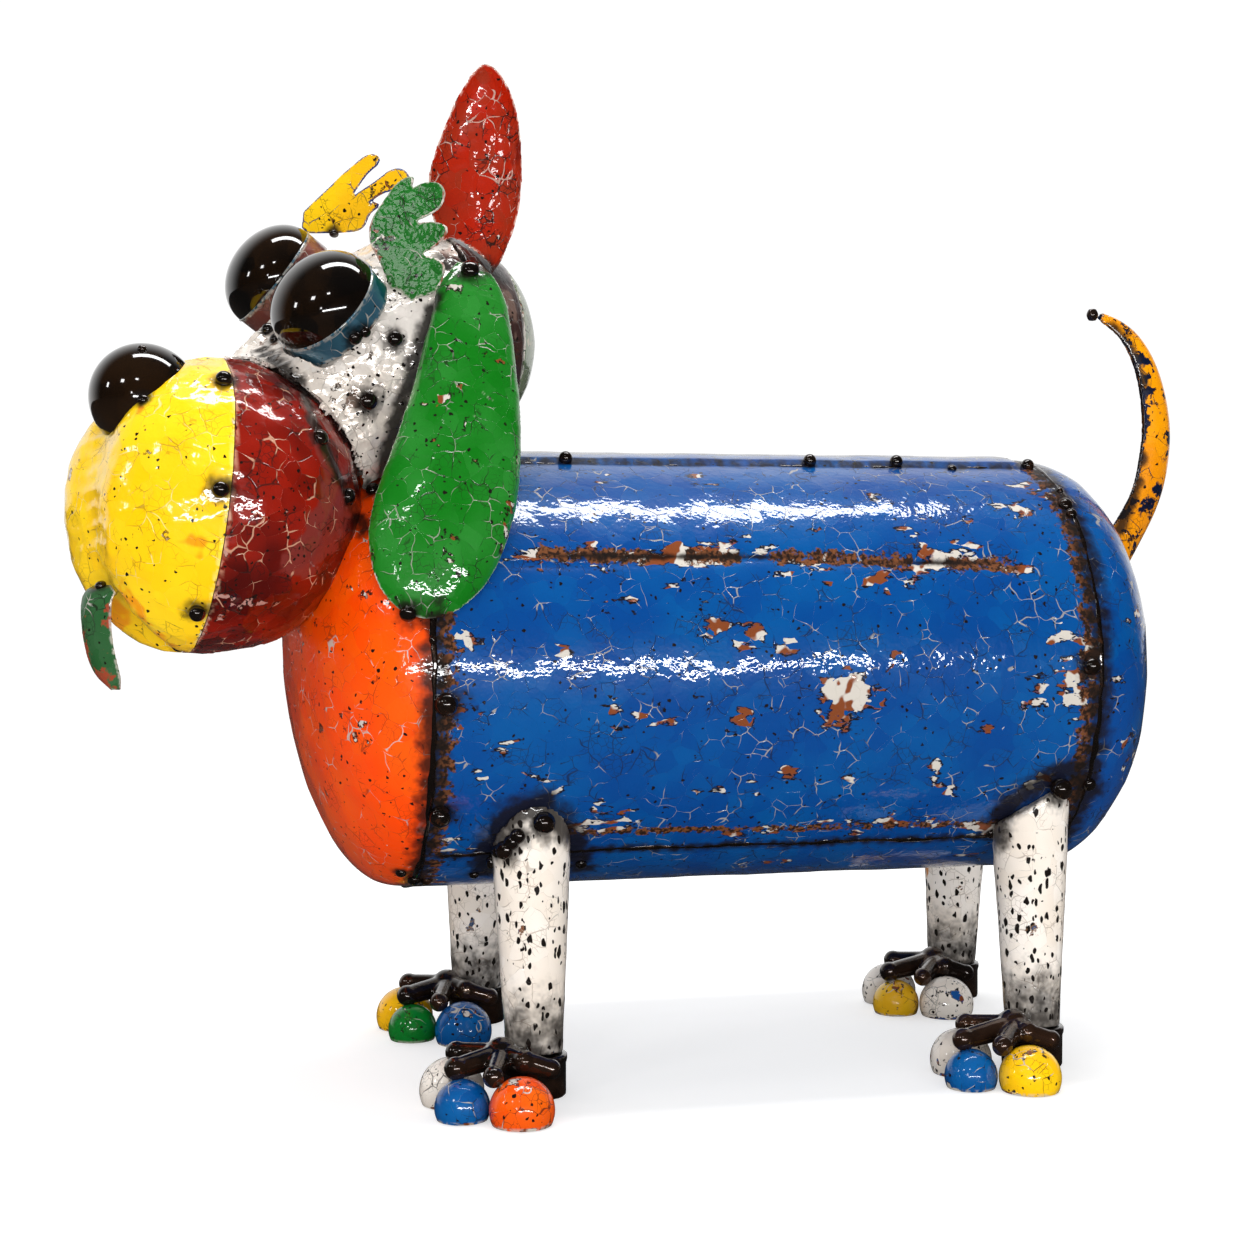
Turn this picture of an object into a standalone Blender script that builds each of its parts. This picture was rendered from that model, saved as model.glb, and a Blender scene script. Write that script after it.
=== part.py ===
"""Scrap metal dog sculpture: welded drum body, domed ends, ball muzzle, sheet ears and clawed feet.

Metres, +Z up. The nose points to -X, the tail to +X and the dog's left side to -Y.
The model is laid out about the point on the ground midway between the front ankles,
and is shifted as a whole at the end, so that its origin is the middle of its footprint.
"""

import math

import bmesh
import bpy
from mathutils import Matrix, Vector
from mathutils.bvhtree import BVHTree

# Clearance between touching pieces, and how far a cutter is swollen to leave it
GAP = 0.0003
CUTTER_SWELL = 0.0006

# Sheet gauge of the ears, brows, tongue and tail
SHEET = 0.0024

# Drum body
DRUM_RADIUS = 0.200
DRUM_LENGTH = 0.606
DRUM_FRONT_X = -0.094
DRUM_AXIS_Z = 0.363
DRUM_SIDES = 56

# Domed ends
CHEST_DEPTH = 0.110
CHEST_LIFT = 0.036
RUMP_DEPTH = 0.103
DOME_FULLNESS = 0.88
DOME_SIDES = 40
DOME_RINGS = 12

# Legs: ankle places are (x, y), each top leans in by its lean
LEG_TOP_RADIUS = 0.0395
ANKLE_RADIUS = 0.0255
FRONT_LEG_LEAN = 0.020
REAR_LEG_LEAN = 0.011
LEG_OVERLAP = 0.118
REAR_TOP_SLOPE = 0.66
REAR_TOP_RISE = 0.085
LEG_SIDES = 20
STANCE_HALF_WIDTH = 0.150
REAR_LEG_X = 0.469
FAR_REAR_SETBACK = 0.044

# Feet
CUFF_RADIUS = 0.0280
CUFF_HEIGHT = 0.036
CUFF_SIDES = 16
CLAW_ROD_RADIUS = 0.0072
CLAW_HUB = Vector((-0.036, -0.036, 0.046))
CLAW_HUB_RADIUS = 0.0125
FRONT_TOE_PLACES = ((-0.029, -0.094), (-0.0745, -0.067), (-0.075, -0.0145))
REAR_TOE_PLACES = ((-0.043, -0.091), (-0.0890, -0.068), (-0.077, -0.0160))
TOE_RADII = (0.0275, 0.0235, 0.0280)
TOE_FLAT = 0.42
TOE_SIDES = 11
TOE_RINGS = 6

# Head: a round skull that the drum carries, turned towards the dog's left
HEAD_RADIUS = 0.107
HEAD_RISE = 0.1005
HEAD_X = -0.0757
HEAD_YAW = math.radians(22.0)
BAND_LENGTH = 0.056
FACE_REACH = 0.262
FACE_PINCH = 0.20
FACE_SIDES = 24
FACE_RINGS = 12
SKULL_SIDES = 26
SKULL_RINGS = 12

# Muzzle ball
MUZZLE_RADIUS = 0.1305
MUZZLE_FORWARD = 0.207
MUZZLE_DROP = 0.1508
CREASE_DEPTH = 0.016
CREASE_WIDTH = math.radians(17.0)
JOWL_SWELL = 0.010
SEAM_YAW = math.radians(8.0)
SEAM_PITCH = math.radians(7.5)
SEAM_FORWARD = 0.0115
MUZZLE_SIDES = 32
MUZZLE_RINGS = 14

# Nose
NOSE_RADIUS = 0.0465
NOSE_HEIGHT = 0.048
NOSE_PITCH = math.radians(44.0)
NOSE_SEAT = 0.110
NOSE_RISE_ANGLE = math.radians(55.0)
NOSE_SIDES = 16
NOSE_RINGS = 10

# Eyes: each is a domed cap on a short collar
EYE_RADIUS = 0.051
EYE_HEIGHT = 0.040
COLLAR_LENGTH = 0.022
EYE_PITCH = math.radians(36.0)
EYE_SPLAY = math.radians(13.0)
NEAR_EYE = Vector((-0.0978, -0.100, 0.0233))
FAR_EYE = Vector((-0.1316, 0.030, 0.0626))
EYE_MOUND = 0.030
EYE_CEILING = 0.014
EYE_SIDES = 20
EYE_RINGS = 8

# Ears
NEAR_EAR_SWELL = 0.024
RED_EAR_SWELL = 0.020
RED_EAR_THICKNESS = 0.003
EAR_SIDES = 24
EAR_RINGS = 8

# Brows
BROW_STANDOFF = 0.004

# Tail
TAIL_SIDES = 6
TAIL_STEPS = 12
TAIL_BALL_RADIUS = 0.0068

# Tongue
TONGUE_WIDTH = 0.036
TONGUE_TWIST = math.radians(24.0)

# Bolts
BOLT_RADIUS = 0.0085
LARGE_BOLT_RADIUS = 0.0105
SMALL_BOLT_RADIUS = 0.0065
MUZZLE_BOLT_RADIUS = 0.0075
BOLT_SUNK = 0.45
CHEST_BOLT_ANGLES = (math.radians(95.0), math.radians(125.0))
RUMP_BOLT_ANGLE = math.radians(88.0)
TOP_SEAM_ANGLE = math.radians(17.0)
TOP_BOLT_STATIONS = (0.234, 0.620, 0.762, 0.985)
MUZZLE_BOLT_FORWARD = 0.020
MUZZLE_BOLT_TURNS = (math.radians(37.0), math.radians(86.0), math.radians(134.0), math.radians(176.0))
LEG_BOLT_PLACES = ((0.077, math.radians(8.0)), (0.094, math.radians(22.0)))

UP = Vector((0.0, 0.0, 1.0))


def heading(yaw):
    """Level direction that faces the nose side, turned by yaw towards the dog's left."""
    return Vector((-math.cos(yaw), -math.sin(yaw), 0.0))


def gaze(yaw, pitch):
    """Direction with the given yaw, raised by pitch."""
    return heading(yaw) * math.cos(pitch) + UP * math.sin(pitch)


HEAD_CENTRE = Vector((HEAD_X, 0.0, DRUM_AXIS_Z + DRUM_RADIUS + HEAD_RISE))
HEAD_AXIS = heading(HEAD_YAW)
HEAD_SIDE = Vector((-math.sin(HEAD_YAW), math.cos(HEAD_YAW), 0.0))
MUZZLE_CENTRE = HEAD_CENTRE + HEAD_AXIS * MUZZLE_FORWARD - UP * MUZZLE_DROP
FACE_AXIS = (MUZZLE_CENTRE - HEAD_CENTRE).normalized()
SEAM_NORMAL = gaze(SEAM_YAW, SEAM_PITCH)
DRUM_REAR_X = DRUM_FRONT_X + DRUM_LENGTH


def clear_scene():
    for obj in list(bpy.data.objects):
        bpy.data.objects.remove(obj, do_unlink=True)


def make_collection(name):
    collection = bpy.data.collections.new(name)
    bpy.context.scene.collection.children.link(collection)
    return collection


clear_scene()
PARTS = make_collection("scrap_metal_dog")
CUTTERS = make_collection("cutters")
ROOT = bpy.data.objects.new("dog_root", None)
PARTS.objects.link(ROOT)


def paint(name, colour, roughness=0.35, metallic=0.0):
    """A Principled BSDF with plain values."""
    material = bpy.data.materials.new(name)
    material.use_nodes = True
    shader = material.node_tree.nodes["Principled BSDF"]
    shader.inputs["Base Color"].default_value = (*colour, 1.0)
    shader.inputs["Roughness"].default_value = roughness
    shader.inputs["Metallic"].default_value = metallic
    return material


BLUE = paint("blue_paint", (0.006, 0.080, 0.350), 0.2)
ORANGE = paint("orange_paint", (0.850, 0.090, 0.008), 0.25)
YELLOW = paint("yellow_paint", (0.900, 0.520, 0.010), 0.25)
OCHRE = paint("ochre_paint", (0.800, 0.350, 0.015), 0.3)
RED = paint("red_paint", (0.420, 0.035, 0.012), 0.25)
MAROON = paint("maroon_paint", (0.150, 0.012, 0.008), 0.25)
GREEN = paint("green_paint", (0.020, 0.210, 0.030), 0.25)
PALE_GREEN = paint("pale_green_paint", (0.060, 0.280, 0.090), 0.3)
GREY_GREEN = paint("grey_green_paint", (0.200, 0.230, 0.150), 0.35)
BROWN = paint("brown_paint", (0.080, 0.050, 0.040), 0.35)
WHITE = paint("white_paint", (0.720, 0.680, 0.620), 0.3)
STEEL = paint("bare_steel", (0.300, 0.350, 0.400), 0.3, 0.8)
BLACK = paint("black_lacquer", (0.010, 0.008, 0.006), 0.08)
BURNT = paint("burnt_metal", (0.030, 0.022, 0.018), 0.2, 0.7)


def add_piece(name, bm, material, location=Vector(), rotation=None):
    """Makes a named object of the mesh, placed in the layout frame and carried by the root."""
    mesh = bpy.data.meshes.new(name)
    bmesh.ops.recalc_face_normals(bm, faces=bm.faces)
    if bm.calc_volume(signed=True) < 0.0 and not any(edge.is_boundary for edge in bm.edges):
        bmesh.ops.reverse_faces(bm, faces=bm.faces)
    bm.to_mesh(mesh)
    bm.free()
    mesh.shade_smooth()
    mesh.set_sharp_from_angle(angle=math.radians(40.0))
    obj = bpy.data.objects.new(name, mesh)
    obj.location = location
    if rotation is not None:
        obj.rotation_euler = rotation.to_euler()
    obj.parent = ROOT
    mesh.materials.append(material)
    PARTS.objects.link(obj)
    return obj


def as_cutter(obj):
    """Moves an object to the cutters: it shapes its neighbours and is no piece itself."""
    PARTS.objects.unlink(obj)
    CUTTERS.objects.link(obj)
    obj.hide_render = True
    obj.display_type = "WIRE"
    return obj


def evaluated_mesh(obj):
    bpy.context.view_layer.update()
    graph = bpy.context.evaluated_depsgraph_get()
    return bpy.data.meshes.new_from_object(obj.evaluated_get(graph))


def surface_tree(obj, swell=0.0):
    """Search tree of the object's surface in the layout frame, swollen along its normals."""
    mesh = evaluated_mesh(obj)
    points = [obj.matrix_world @ (v.co + v.normal * swell) for v in mesh.vertices]
    tree = BVHTree.FromPolygons(points, [tuple(p.vertices) for p in mesh.polygons])
    bpy.data.meshes.remove(mesh)
    return tree


def carve(piece, *neighbours):
    """Cuts the piece back from each neighbour that reaches into it, with the clearance."""
    for neighbour in neighbours:
        if not surface_tree(piece).overlap(surface_tree(neighbour, CUTTER_SWELL)):
            continue
        cutter = bpy.data.objects.new(f"{piece.name}_seat_{neighbour.name}", evaluated_mesh(neighbour))
        cutter.matrix_world = neighbour.matrix_world
        cutter.parent = ROOT
        cutter.hide_render = True
        cutter.display_type = "WIRE"
        CUTTERS.objects.link(cutter)
        swell = cutter.modifiers.new("swell", "DISPLACE")
        swell.strength = CUTTER_SWELL
        swell.mid_level = 0.0
        cut = piece.modifiers.new(f"seat_{neighbour.name}", "BOOLEAN")
        cut.operation = "DIFFERENCE"
        cut.object = cutter


def join(piece, *additions):
    """Unites the additions with the piece, which become one body."""
    for addition in additions:
        as_cutter(addition)
        union = piece.modifiers.new(f"join_{addition.name}", "BOOLEAN")
        union.operation = "UNION"
        union.object = addition


def bisect(bm, point, normal):
    """Keeps what lies on the side that the normal points to, and closes the cut."""
    geometry = bm.verts[:] + bm.edges[:] + bm.faces[:]
    bmesh.ops.bisect_plane(bm, geom=geometry, plane_co=point, plane_no=normal, clear_inner=True)
    rim = [edge for edge in bm.edges if edge.is_boundary]
    bmesh.ops.holes_fill(bm, edges=rim, sides=0)


def turn_to(direction, side=None):
    """Rotation that carries +Z to the direction, and +X as near as can be to side."""
    axis = direction.normalized()
    guide = side if side is not None else (UP if abs(axis.z) < 0.9 else Vector((1.0, 0.0, 0.0)))
    x_axis = (guide - axis * guide.dot(axis)).normalized()
    y_axis = axis.cross(x_axis)
    return Matrix((x_axis, y_axis, axis)).transposed()


def ball(radius, sides, rings):
    bm = bmesh.new()
    bmesh.ops.create_uvsphere(bm, u_segments=sides, v_segments=rings, radius=radius)
    return bm


def cut_ball(radius, cut_height, sides, rings):
    """A ball with its part below cut_height taken off flat, its flat at z = 0."""
    bm = ball(radius, sides, rings)
    bisect(bm, Vector((0.0, 0.0, cut_height)), UP)
    bmesh.ops.translate(bm, verts=bm.verts, vec=(0.0, 0.0, -cut_height))
    return bm


def cone(radius_low, radius_high, depth, sides):
    """A tapered round bar standing on z = 0."""
    bm = bmesh.new()
    bmesh.ops.create_cone(bm, cap_ends=True, segments=sides, radius1=radius_low, radius2=radius_high,
                          depth=depth)
    bmesh.ops.translate(bm, verts=bm.verts, vec=(0.0, 0.0, depth / 2))
    return bm


def bar_between(name, start, end, radius_start, radius_end, material, sides=8):
    """A tapered round bar from one point to another."""
    reach = end - start
    bm = cone(radius_start, radius_end, reach.length, sides)
    return add_piece(name, bm, material, start, turn_to(reach))


def bolt(name, point, normal, radius=BOLT_RADIUS):
    """A round weld head that sits on the surface at the point."""
    bm = cut_ball(radius, -BOLT_SUNK * radius, 7, 4)
    return add_piece(name, bm, BURNT, point + normal * GAP, turn_to(normal))


def build_drum():
    bm = cone(DRUM_RADIUS, DRUM_RADIUS, DRUM_LENGTH, DRUM_SIDES)
    front = Vector((DRUM_FRONT_X, 0.0, DRUM_AXIS_Z))
    return add_piece("body_drum", bm, BLUE, front, turn_to(Vector((1.0, 0.0, 0.0))))


def build_dome(name, depth, lift, direction, rim_x, material):
    """Half of a ball stretched to its depth, its crown lifted above the drum's axis."""
    bm = ball(1.0, DOME_SIDES, DOME_RINGS)
    bisect(bm, Vector(), UP)
    turn = turn_to(Vector((direction, 0.0, 0.0)))
    for vertex in bm.verts:
        unit = turn @ vertex.co
        crown = abs(unit.x)
        vertex.co = Vector((direction * (depth * crown ** DOME_FULLNESS + GAP), DRUM_RADIUS * unit.y,
                            DRUM_RADIUS * unit.z + lift * crown ** 2))
    return add_piece(name, bm, material, Vector((rim_x, 0.0, DRUM_AXIS_Z)))


def leg_line(ankle_x, side, lean):
    """Middle of the leg at the ankle cuff and at its top, inside the drum."""
    ankle = Vector((ankle_x, side * STANCE_HALF_WIDTH, CUFF_HEIGHT + GAP))
    top = Vector((ankle_x, side * (STANCE_HALF_WIDTH - lean), DRUM_AXIS_Z - DRUM_RADIUS + LEG_OVERLAP))
    return ankle, top


def build_leg(name, ankle_x, side, lean, drum, domes, slope=0.0):
    """A tapered tube on its ankle cuff, its top cut to straddle the drum and sloped where asked."""
    ankle, top = leg_line(ankle_x, side, lean)
    reach = top - ankle
    bm = cone(ANKLE_RADIUS, LEG_TOP_RADIUS, reach.length, LEG_SIDES)
    if slope:
        rise = DRUM_AXIS_Z - DRUM_RADIUS + REAR_TOP_RISE - ankle.z
        bisect(bm, Vector((0.0, 0.0, rise)), Vector((slope, 0.0, -1.0)).normalized())
    leg = add_piece(name, bm, WHITE, ankle, turn_to(reach))
    carve(leg, drum, *domes)
    return leg


def build_foot(name, ankle_x, side, toe_materials, toe_places, leg):
    """Ankle cuff with three claw rods under the leg, and the half-ball toes that they hold."""
    centre = Vector((ankle_x, side * STANCE_HALF_WIDTH, 0.0))
    toes = []
    for index, (place, radius) in enumerate(zip(toe_places, TOE_RADII)):
        bm = cut_ball(radius, -TOE_FLAT * radius, TOE_SIDES, TOE_RINGS)
        toes.append(add_piece(f"{name}_toe_{index + 1}", bm, toe_materials[index],
                              centre + Vector((*place, 0.0))))
    cuff = add_piece(f"{name}_ankle", cone(CUFF_RADIUS, CUFF_RADIUS, CUFF_HEIGHT, CUFF_SIDES), BURNT, centre)
    hub = centre + CLAW_HUB
    core = centre + UP * CUFF_HEIGHT * 0.75
    additions = [bar_between(f"{name}_claw_arm", core, hub, 0.011, 0.009, BURNT),
                 add_piece(f"{name}_claw_hub", ball(CLAW_HUB_RADIUS, 8, 5), BURNT, hub)]
    for index, (place, radius) in enumerate(zip(toe_places, TOE_RADII)):
        toe_top = centre + Vector((*place, radius * (TOE_FLAT + 0.75)))
        inward = (hub - toe_top)
        inward.z = 0.0
        tip = toe_top + inward.normalized() * radius * 0.45
        additions.append(bar_between(f"{name}_claw_{index + 1}", hub, tip, CLAW_ROD_RADIUS * 1.15,
                                     CLAW_ROD_RADIUS, BURNT, 6))
    join(cuff, *additions)
    carve(cuff, *toes, leg)


def muzzle_radius(direction):
    """Distance from the muzzle's centre to its skin, with a crease between two jowls."""
    forward = direction.dot(HEAD_AXIS)
    sideways = direction.dot(HEAD_SIDE)
    swing = math.atan2(sideways, forward)
    front = max(0.0, min(1.0, (forward + 0.05) / 0.55))
    front = front * front * (3.0 - 2.0 * front)
    crease = math.exp(-((swing / CREASE_WIDTH) ** 2)) * front
    low = max(0.0, -direction.z) * front
    return MUZZLE_RADIUS - CREASE_DEPTH * crease + JOWL_SWELL * low * (1.0 - 0.5 * crease)


def muzzle_point(direction):
    return MUZZLE_CENTRE + direction * muzzle_radius(direction)


def muzzle_mesh():
    bm = ball(1.0, MUZZLE_SIDES, MUZZLE_RINGS)
    bmesh.ops.rotate(bm, verts=bm.verts, matrix=Matrix.Rotation(HEAD_YAW, 3, "Z"))
    for vertex in bm.verts:
        vertex.co = vertex.co * muzzle_radius(vertex.co.normalized())
    bmesh.ops.triangulate(bm, faces=bm.faces)
    return bm


def build_muzzle():
    """The jowled ball in two pieces that meet at a slanting seam, and the whole ball as a cutter."""
    whole = as_cutter(add_piece("muzzle_ball", muzzle_mesh(), MAROON, MUZZLE_CENTRE))
    seam = SEAM_NORMAL * SEAM_FORWARD
    front = muzzle_mesh()
    bisect(front, seam + SEAM_NORMAL * GAP, SEAM_NORMAL)
    back = muzzle_mesh()
    bisect(back, seam, -SEAM_NORMAL)
    return (add_piece("muzzle_front", front, YELLOW, MUZZLE_CENTRE),
            add_piece("muzzle_back", back, MAROON, MUZZLE_CENTRE), whole)


def build_nose(muzzle_ball):
    """A domed cap seated in the hollow at the top of the crease."""
    bm = ball(1.0, NOSE_SIDES, NOSE_RINGS)
    bisect(bm, Vector((0.0, 0.0, -0.25)), UP)
    for vertex in bm.verts:
        vertex.co = Vector((vertex.co.x * NOSE_RADIUS, vertex.co.y * NOSE_RADIUS, vertex.co.z * NOSE_HEIGHT))
    seat = MUZZLE_CENTRE + gaze(HEAD_YAW, NOSE_RISE_ANGLE) * NOSE_SEAT
    nose = add_piece("nose", bm, BLACK, seat, turn_to(gaze(HEAD_YAW, NOSE_PITCH)))
    carve(nose, muzzle_ball)
    return nose


def build_eye(name, centre, axis):
    """A domed cap on its collar, both about the eye's axis."""
    collar_bm = cone(EYE_RADIUS, EYE_RADIUS, COLLAR_LENGTH, EYE_SIDES)
    back = centre - axis * COLLAR_LENGTH
    collar = add_piece(f"{name}_collar", collar_bm, STEEL, back, turn_to(axis))
    dome = ball(1.0, EYE_SIDES, EYE_RINGS)
    bisect(dome, Vector(), UP)
    for vertex in dome.verts:
        vertex.co = Vector((vertex.co.x * EYE_RADIUS, vertex.co.y * EYE_RADIUS, vertex.co.z * EYE_HEIGHT))
    return add_piece(f"{name}_ball", dome, BLACK, centre + axis * GAP, turn_to(axis)), collar


def build_face(eyes):
    """The skull's front, drawn out towards the muzzle and raised under each eye."""
    bm = ball(1.0, FACE_SIDES, FACE_RINGS)
    turn = turn_to(FACE_AXIS, HEAD_SIDE)
    for vertex in bm.verts:
        across, high, along = vertex.co
        spread = math.hypot(across, high)
        if along > 0.0:
            full = spread ** 0.35 if spread > 0.0 else 0.0
            scale = full / spread if spread > 0.0 else 0.0
            pinch = 1.0 - FACE_PINCH * min(1.0, along * 1.4)
            local = Vector((across * scale * HEAD_RADIUS * pinch, high * scale * HEAD_RADIUS,
                            along * FACE_REACH))
        else:
            local = vertex.co * HEAD_RADIUS
        point = turn @ local
        for centre, axis in eyes:
            back = centre - axis * COLLAR_LENGTH - HEAD_CENTRE
            offset = point - back
            height = offset.dot(axis)
            aside = (offset - axis * height).length
            near = max(0.0, min(1.0, 1.0 - (aside - EYE_RADIUS * 0.8) / EYE_MOUND))
            if height < 0.0 and height > -HEAD_RADIUS * 0.7:
                point = point + axis * (-height + CUTTER_SWELL * 2) * near * near * (3.0 - 2.0 * near)
            elif height > EYE_CEILING and aside < EYE_RADIUS * 1.5:
                point = point - axis * (height - EYE_CEILING)
        vertex.co = point
    bisect(bm, HEAD_AXIS * GAP, HEAD_AXIS)
    face = add_piece("face", bm, WHITE, HEAD_CENTRE)
    uncut = bpy.data.objects.new("face_form", face.data.copy())
    uncut.location = face.location
    uncut.parent = ROOT
    PARTS.objects.link(uncut)
    return face, as_cutter(uncut)


def build_skull():
    """The brown band round the skull and the dome that closes its back."""
    turn = turn_to(-HEAD_AXIS)
    band = ball(HEAD_RADIUS, SKULL_SIDES, SKULL_RINGS)
    bisect(band, Vector(), UP)
    bisect(band, UP * BAND_LENGTH, -UP)
    dome = ball(HEAD_RADIUS, SKULL_SIDES, SKULL_RINGS)
    bisect(dome, UP * (BAND_LENGTH + GAP), UP)
    return (add_piece("head_band", band, BROWN, HEAD_CENTRE, turn),
            add_piece("head_back_dome", dome, GREY_GREEN, HEAD_CENTRE, turn))


def smooth_loop(points, count):
    """Evenly stepped points of a closed Catmull-Rom curve through the given ones."""
    loop = []
    total = len(points)
    for step in range(count):
        place = step * total / count
        index = int(place)
        t = place - index
        p0, p1, p2, p3 = (Vector(points[(index + k) % total]) for k in (-1, 0, 1, 2))
        loop.append(0.5 * ((2 * p1) + (p2 - p0) * t + (2 * p0 - 5 * p1 + 4 * p2 - p3) * t * t
                           + (3 * p1 - p0 - 3 * p2 + p3) * t ** 3))
    return loop


def smooth_path(points, count):
    """Evenly stepped points of an open Catmull-Rom curve through the given ones."""
    ends = [2 * Vector(points[0]) - Vector(points[1])] + [Vector(p) for p in points]
    ends.append(2 * Vector(points[-1]) - Vector(points[-2]))
    path = []
    for step in range(count + 1):
        place = min(step * (len(points) - 1) / count, len(points) - 1 - 1e-9)
        index = int(place)
        t = place - index
        p0, p1, p2, p3 = ends[index:index + 4]
        path.append(0.5 * ((2 * p1) + (p2 - p0) * t + (2 * p0 - 5 * p1 + 4 * p2 - p3) * t * t
                           + (3 * p1 - p0 - 3 * p2 + p3) * t ** 3))
    return path


def dished_plate(name, outline, centre, swell, thickness, material, location, rotation):
    """A sheet with the outline, domed towards +Z of its own frame, thickened on its inner side."""
    bm = ball(1.0, EAR_SIDES, EAR_RINGS)
    geometry = bm.verts[:] + bm.edges[:] + bm.faces[:]
    bmesh.ops.bisect_plane(bm, geom=geometry, plane_co=Vector(), plane_no=UP, clear_inner=True)
    rim = smooth_loop(outline, EAR_SIDES)
    middle = Vector(centre)
    for vertex in bm.verts:
        fraction = math.hypot(vertex.co.x, vertex.co.y)
        turn = math.atan2(vertex.co.y, vertex.co.x) % (2 * math.pi)
        edge = rim[round(turn / (2 * math.pi) * EAR_SIDES) % EAR_SIDES]
        flat = middle + (edge - middle) * fraction
        vertex.co = Vector((flat.x, flat.y, swell * vertex.co.z))
    plate = add_piece(name, bm, material, location, rotation)
    wall = plate.modifiers.new("wall", "SOLIDIFY")
    wall.thickness = thickness
    wall.offset = 1.0
    return plate


# Outline of the hanging ear: (towards the tail, down the ear) from its bolt
NEAR_EAR_OUTLINE = ((0.034, 0.145), (0.030, 0.197), (0.020, 0.241), (-0.001, 0.289), (-0.032, 0.317),
                    (-0.058, 0.323), (-0.090, 0.308), (-0.104, 0.260), (-0.094, 0.208), (-0.066, 0.140),
                    (-0.044, 0.066), (-0.032, 0.016), (-0.004, -0.010), (0.024, 0.014), (0.031, 0.060),
                    (0.033, 0.100))
NEAR_EAR_MIDDLE = (-0.030, 0.190)

# Outline of the upright ear: (towards the tail, up) from its lowest point
RED_EAR_OUTLINE = ((0.027, 0.110), (0.021, 0.154), (0.007, 0.184), (-0.009, 0.194), (-0.026, 0.176),
                   (-0.047, 0.130), (-0.059, 0.086), (-0.052, 0.046), (-0.032, 0.016), (-0.001, -0.002),
                   (0.016, 0.028), (0.026, 0.066))
RED_EAR_MIDDLE = (-0.016, 0.092)


def near_ear_frame():
    """The plane that rests on the skull's near side and on the drum's shoulder."""
    skull = HEAD_RADIUS + GAP * 2
    drum = DRUM_RADIUS + GAP * 2
    lean = math.asin((drum - skull) / (HEAD_CENTRE.z - DRUM_AXIS_Z))
    outward = Vector((0.0, -math.cos(lean), math.sin(lean)))
    down = Vector((0.0, -math.sin(lean), -math.cos(lean)))
    return outward, down, HEAD_CENTRE + outward * skull


def build_near_ear():
    """The green ear that hangs over the shoulder."""
    outward, down, touch = near_ear_frame()
    bolt_point = touch + Vector((0.0325, 0.0, 0.0)) - down * 0.027
    turn = Matrix((Vector((1.0, 0.0, 0.0)), -down, outward)).transposed()
    outline = [(x, -y, 0.0) for x, y in NEAR_EAR_OUTLINE]
    middle = (NEAR_EAR_MIDDLE[0], -NEAR_EAR_MIDDLE[1], 0.0)
    return dished_plate("left_ear", outline[::-1], middle, NEAR_EAR_SWELL, SHEET, GREEN, bolt_point, turn)


def build_red_ear():
    """The red ear that stands on the skull."""
    along = Vector((0.954, -0.301, 0.0))
    upward = Vector((0.035, 0.109, 0.993))
    foot = HEAD_CENTRE + Vector((0.0527, -0.074, 0.0562))
    turn = Matrix((along, upward, along.cross(upward))).transposed()
    outline = [(x, y, 0.0) for x, y in RED_EAR_OUTLINE]
    middle = (*RED_EAR_MIDDLE, 0.0)
    return dished_plate("right_ear", outline, middle, -RED_EAR_SWELL, RED_EAR_THICKNESS, RED, foot, turn)


def sheet_cutout(name, outline, sharp, material, location, rotation):
    """A flat sheet whose outline is smooth, except at the numbered sharp points."""
    curve = bpy.data.curves.new(name, "CURVE")
    curve.dimensions = "2D"
    curve.fill_mode = "BOTH"
    curve.extrude = SHEET / 2
    curve.resolution_u = 3
    spline = curve.splines.new("BEZIER")
    spline.bezier_points.add(len(outline) - 1)
    spline.use_cyclic_u = True
    for index, (point, place) in enumerate(zip(spline.bezier_points, outline)):
        point.co = (*place, 0.0)
        point.handle_left_type = "VECTOR" if index in sharp else "AUTO"
        point.handle_right_type = "VECTOR" if index in sharp else "AUTO"
    flat = bpy.data.objects.new(f"{name}_outline", curve)
    CUTTERS.objects.link(flat)
    bm = bmesh.new()
    bm.from_mesh(evaluated_mesh(flat))
    bpy.data.objects.remove(flat)
    bmesh.ops.remove_doubles(bm, verts=bm.verts, dist=0.00005)
    return add_piece(name, bm, material, location, rotation)


# Outlines of the brows, in each brow's own plane: (towards the tail, up)
LEFT_BROW_OUTLINE = ((-0.012, -0.030), (0.004, -0.014), (0.019, -0.010), (0.028, 0.005), (0.027, 0.017),
                     (0.006, 0.025), (0.022, 0.034), (0.029, 0.049), (-0.006, 0.053), (0.014, 0.061),
                     (0.024, 0.070), (0.023, 0.086), (0.007, 0.090), (-0.016, 0.078), (-0.004, 0.094),
                     (-0.012, 0.095), (-0.030, 0.076), (-0.044, 0.046), (-0.031, 0.018), (-0.020, -0.006))
LEFT_BROW_SHARP = (0, 5, 8, 13)
RIGHT_BROW_OUTLINE = ((-0.023, 0.003), (0.001, -0.003), (0.020, -0.003), (0.037, 0.000), (0.044, 0.013),
                      (0.053, 0.022), (0.036, 0.018), (0.058, 0.032), (0.082, 0.037), (0.082, 0.047),
                      (0.071, 0.054), (0.050, 0.043), (0.026, 0.029), (0.042, 0.050), (0.054, 0.062),
                      (0.047, 0.068), (0.028, 0.058), (0.006, 0.040))
RIGHT_BROW_SHARP = (6, 12)


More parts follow.
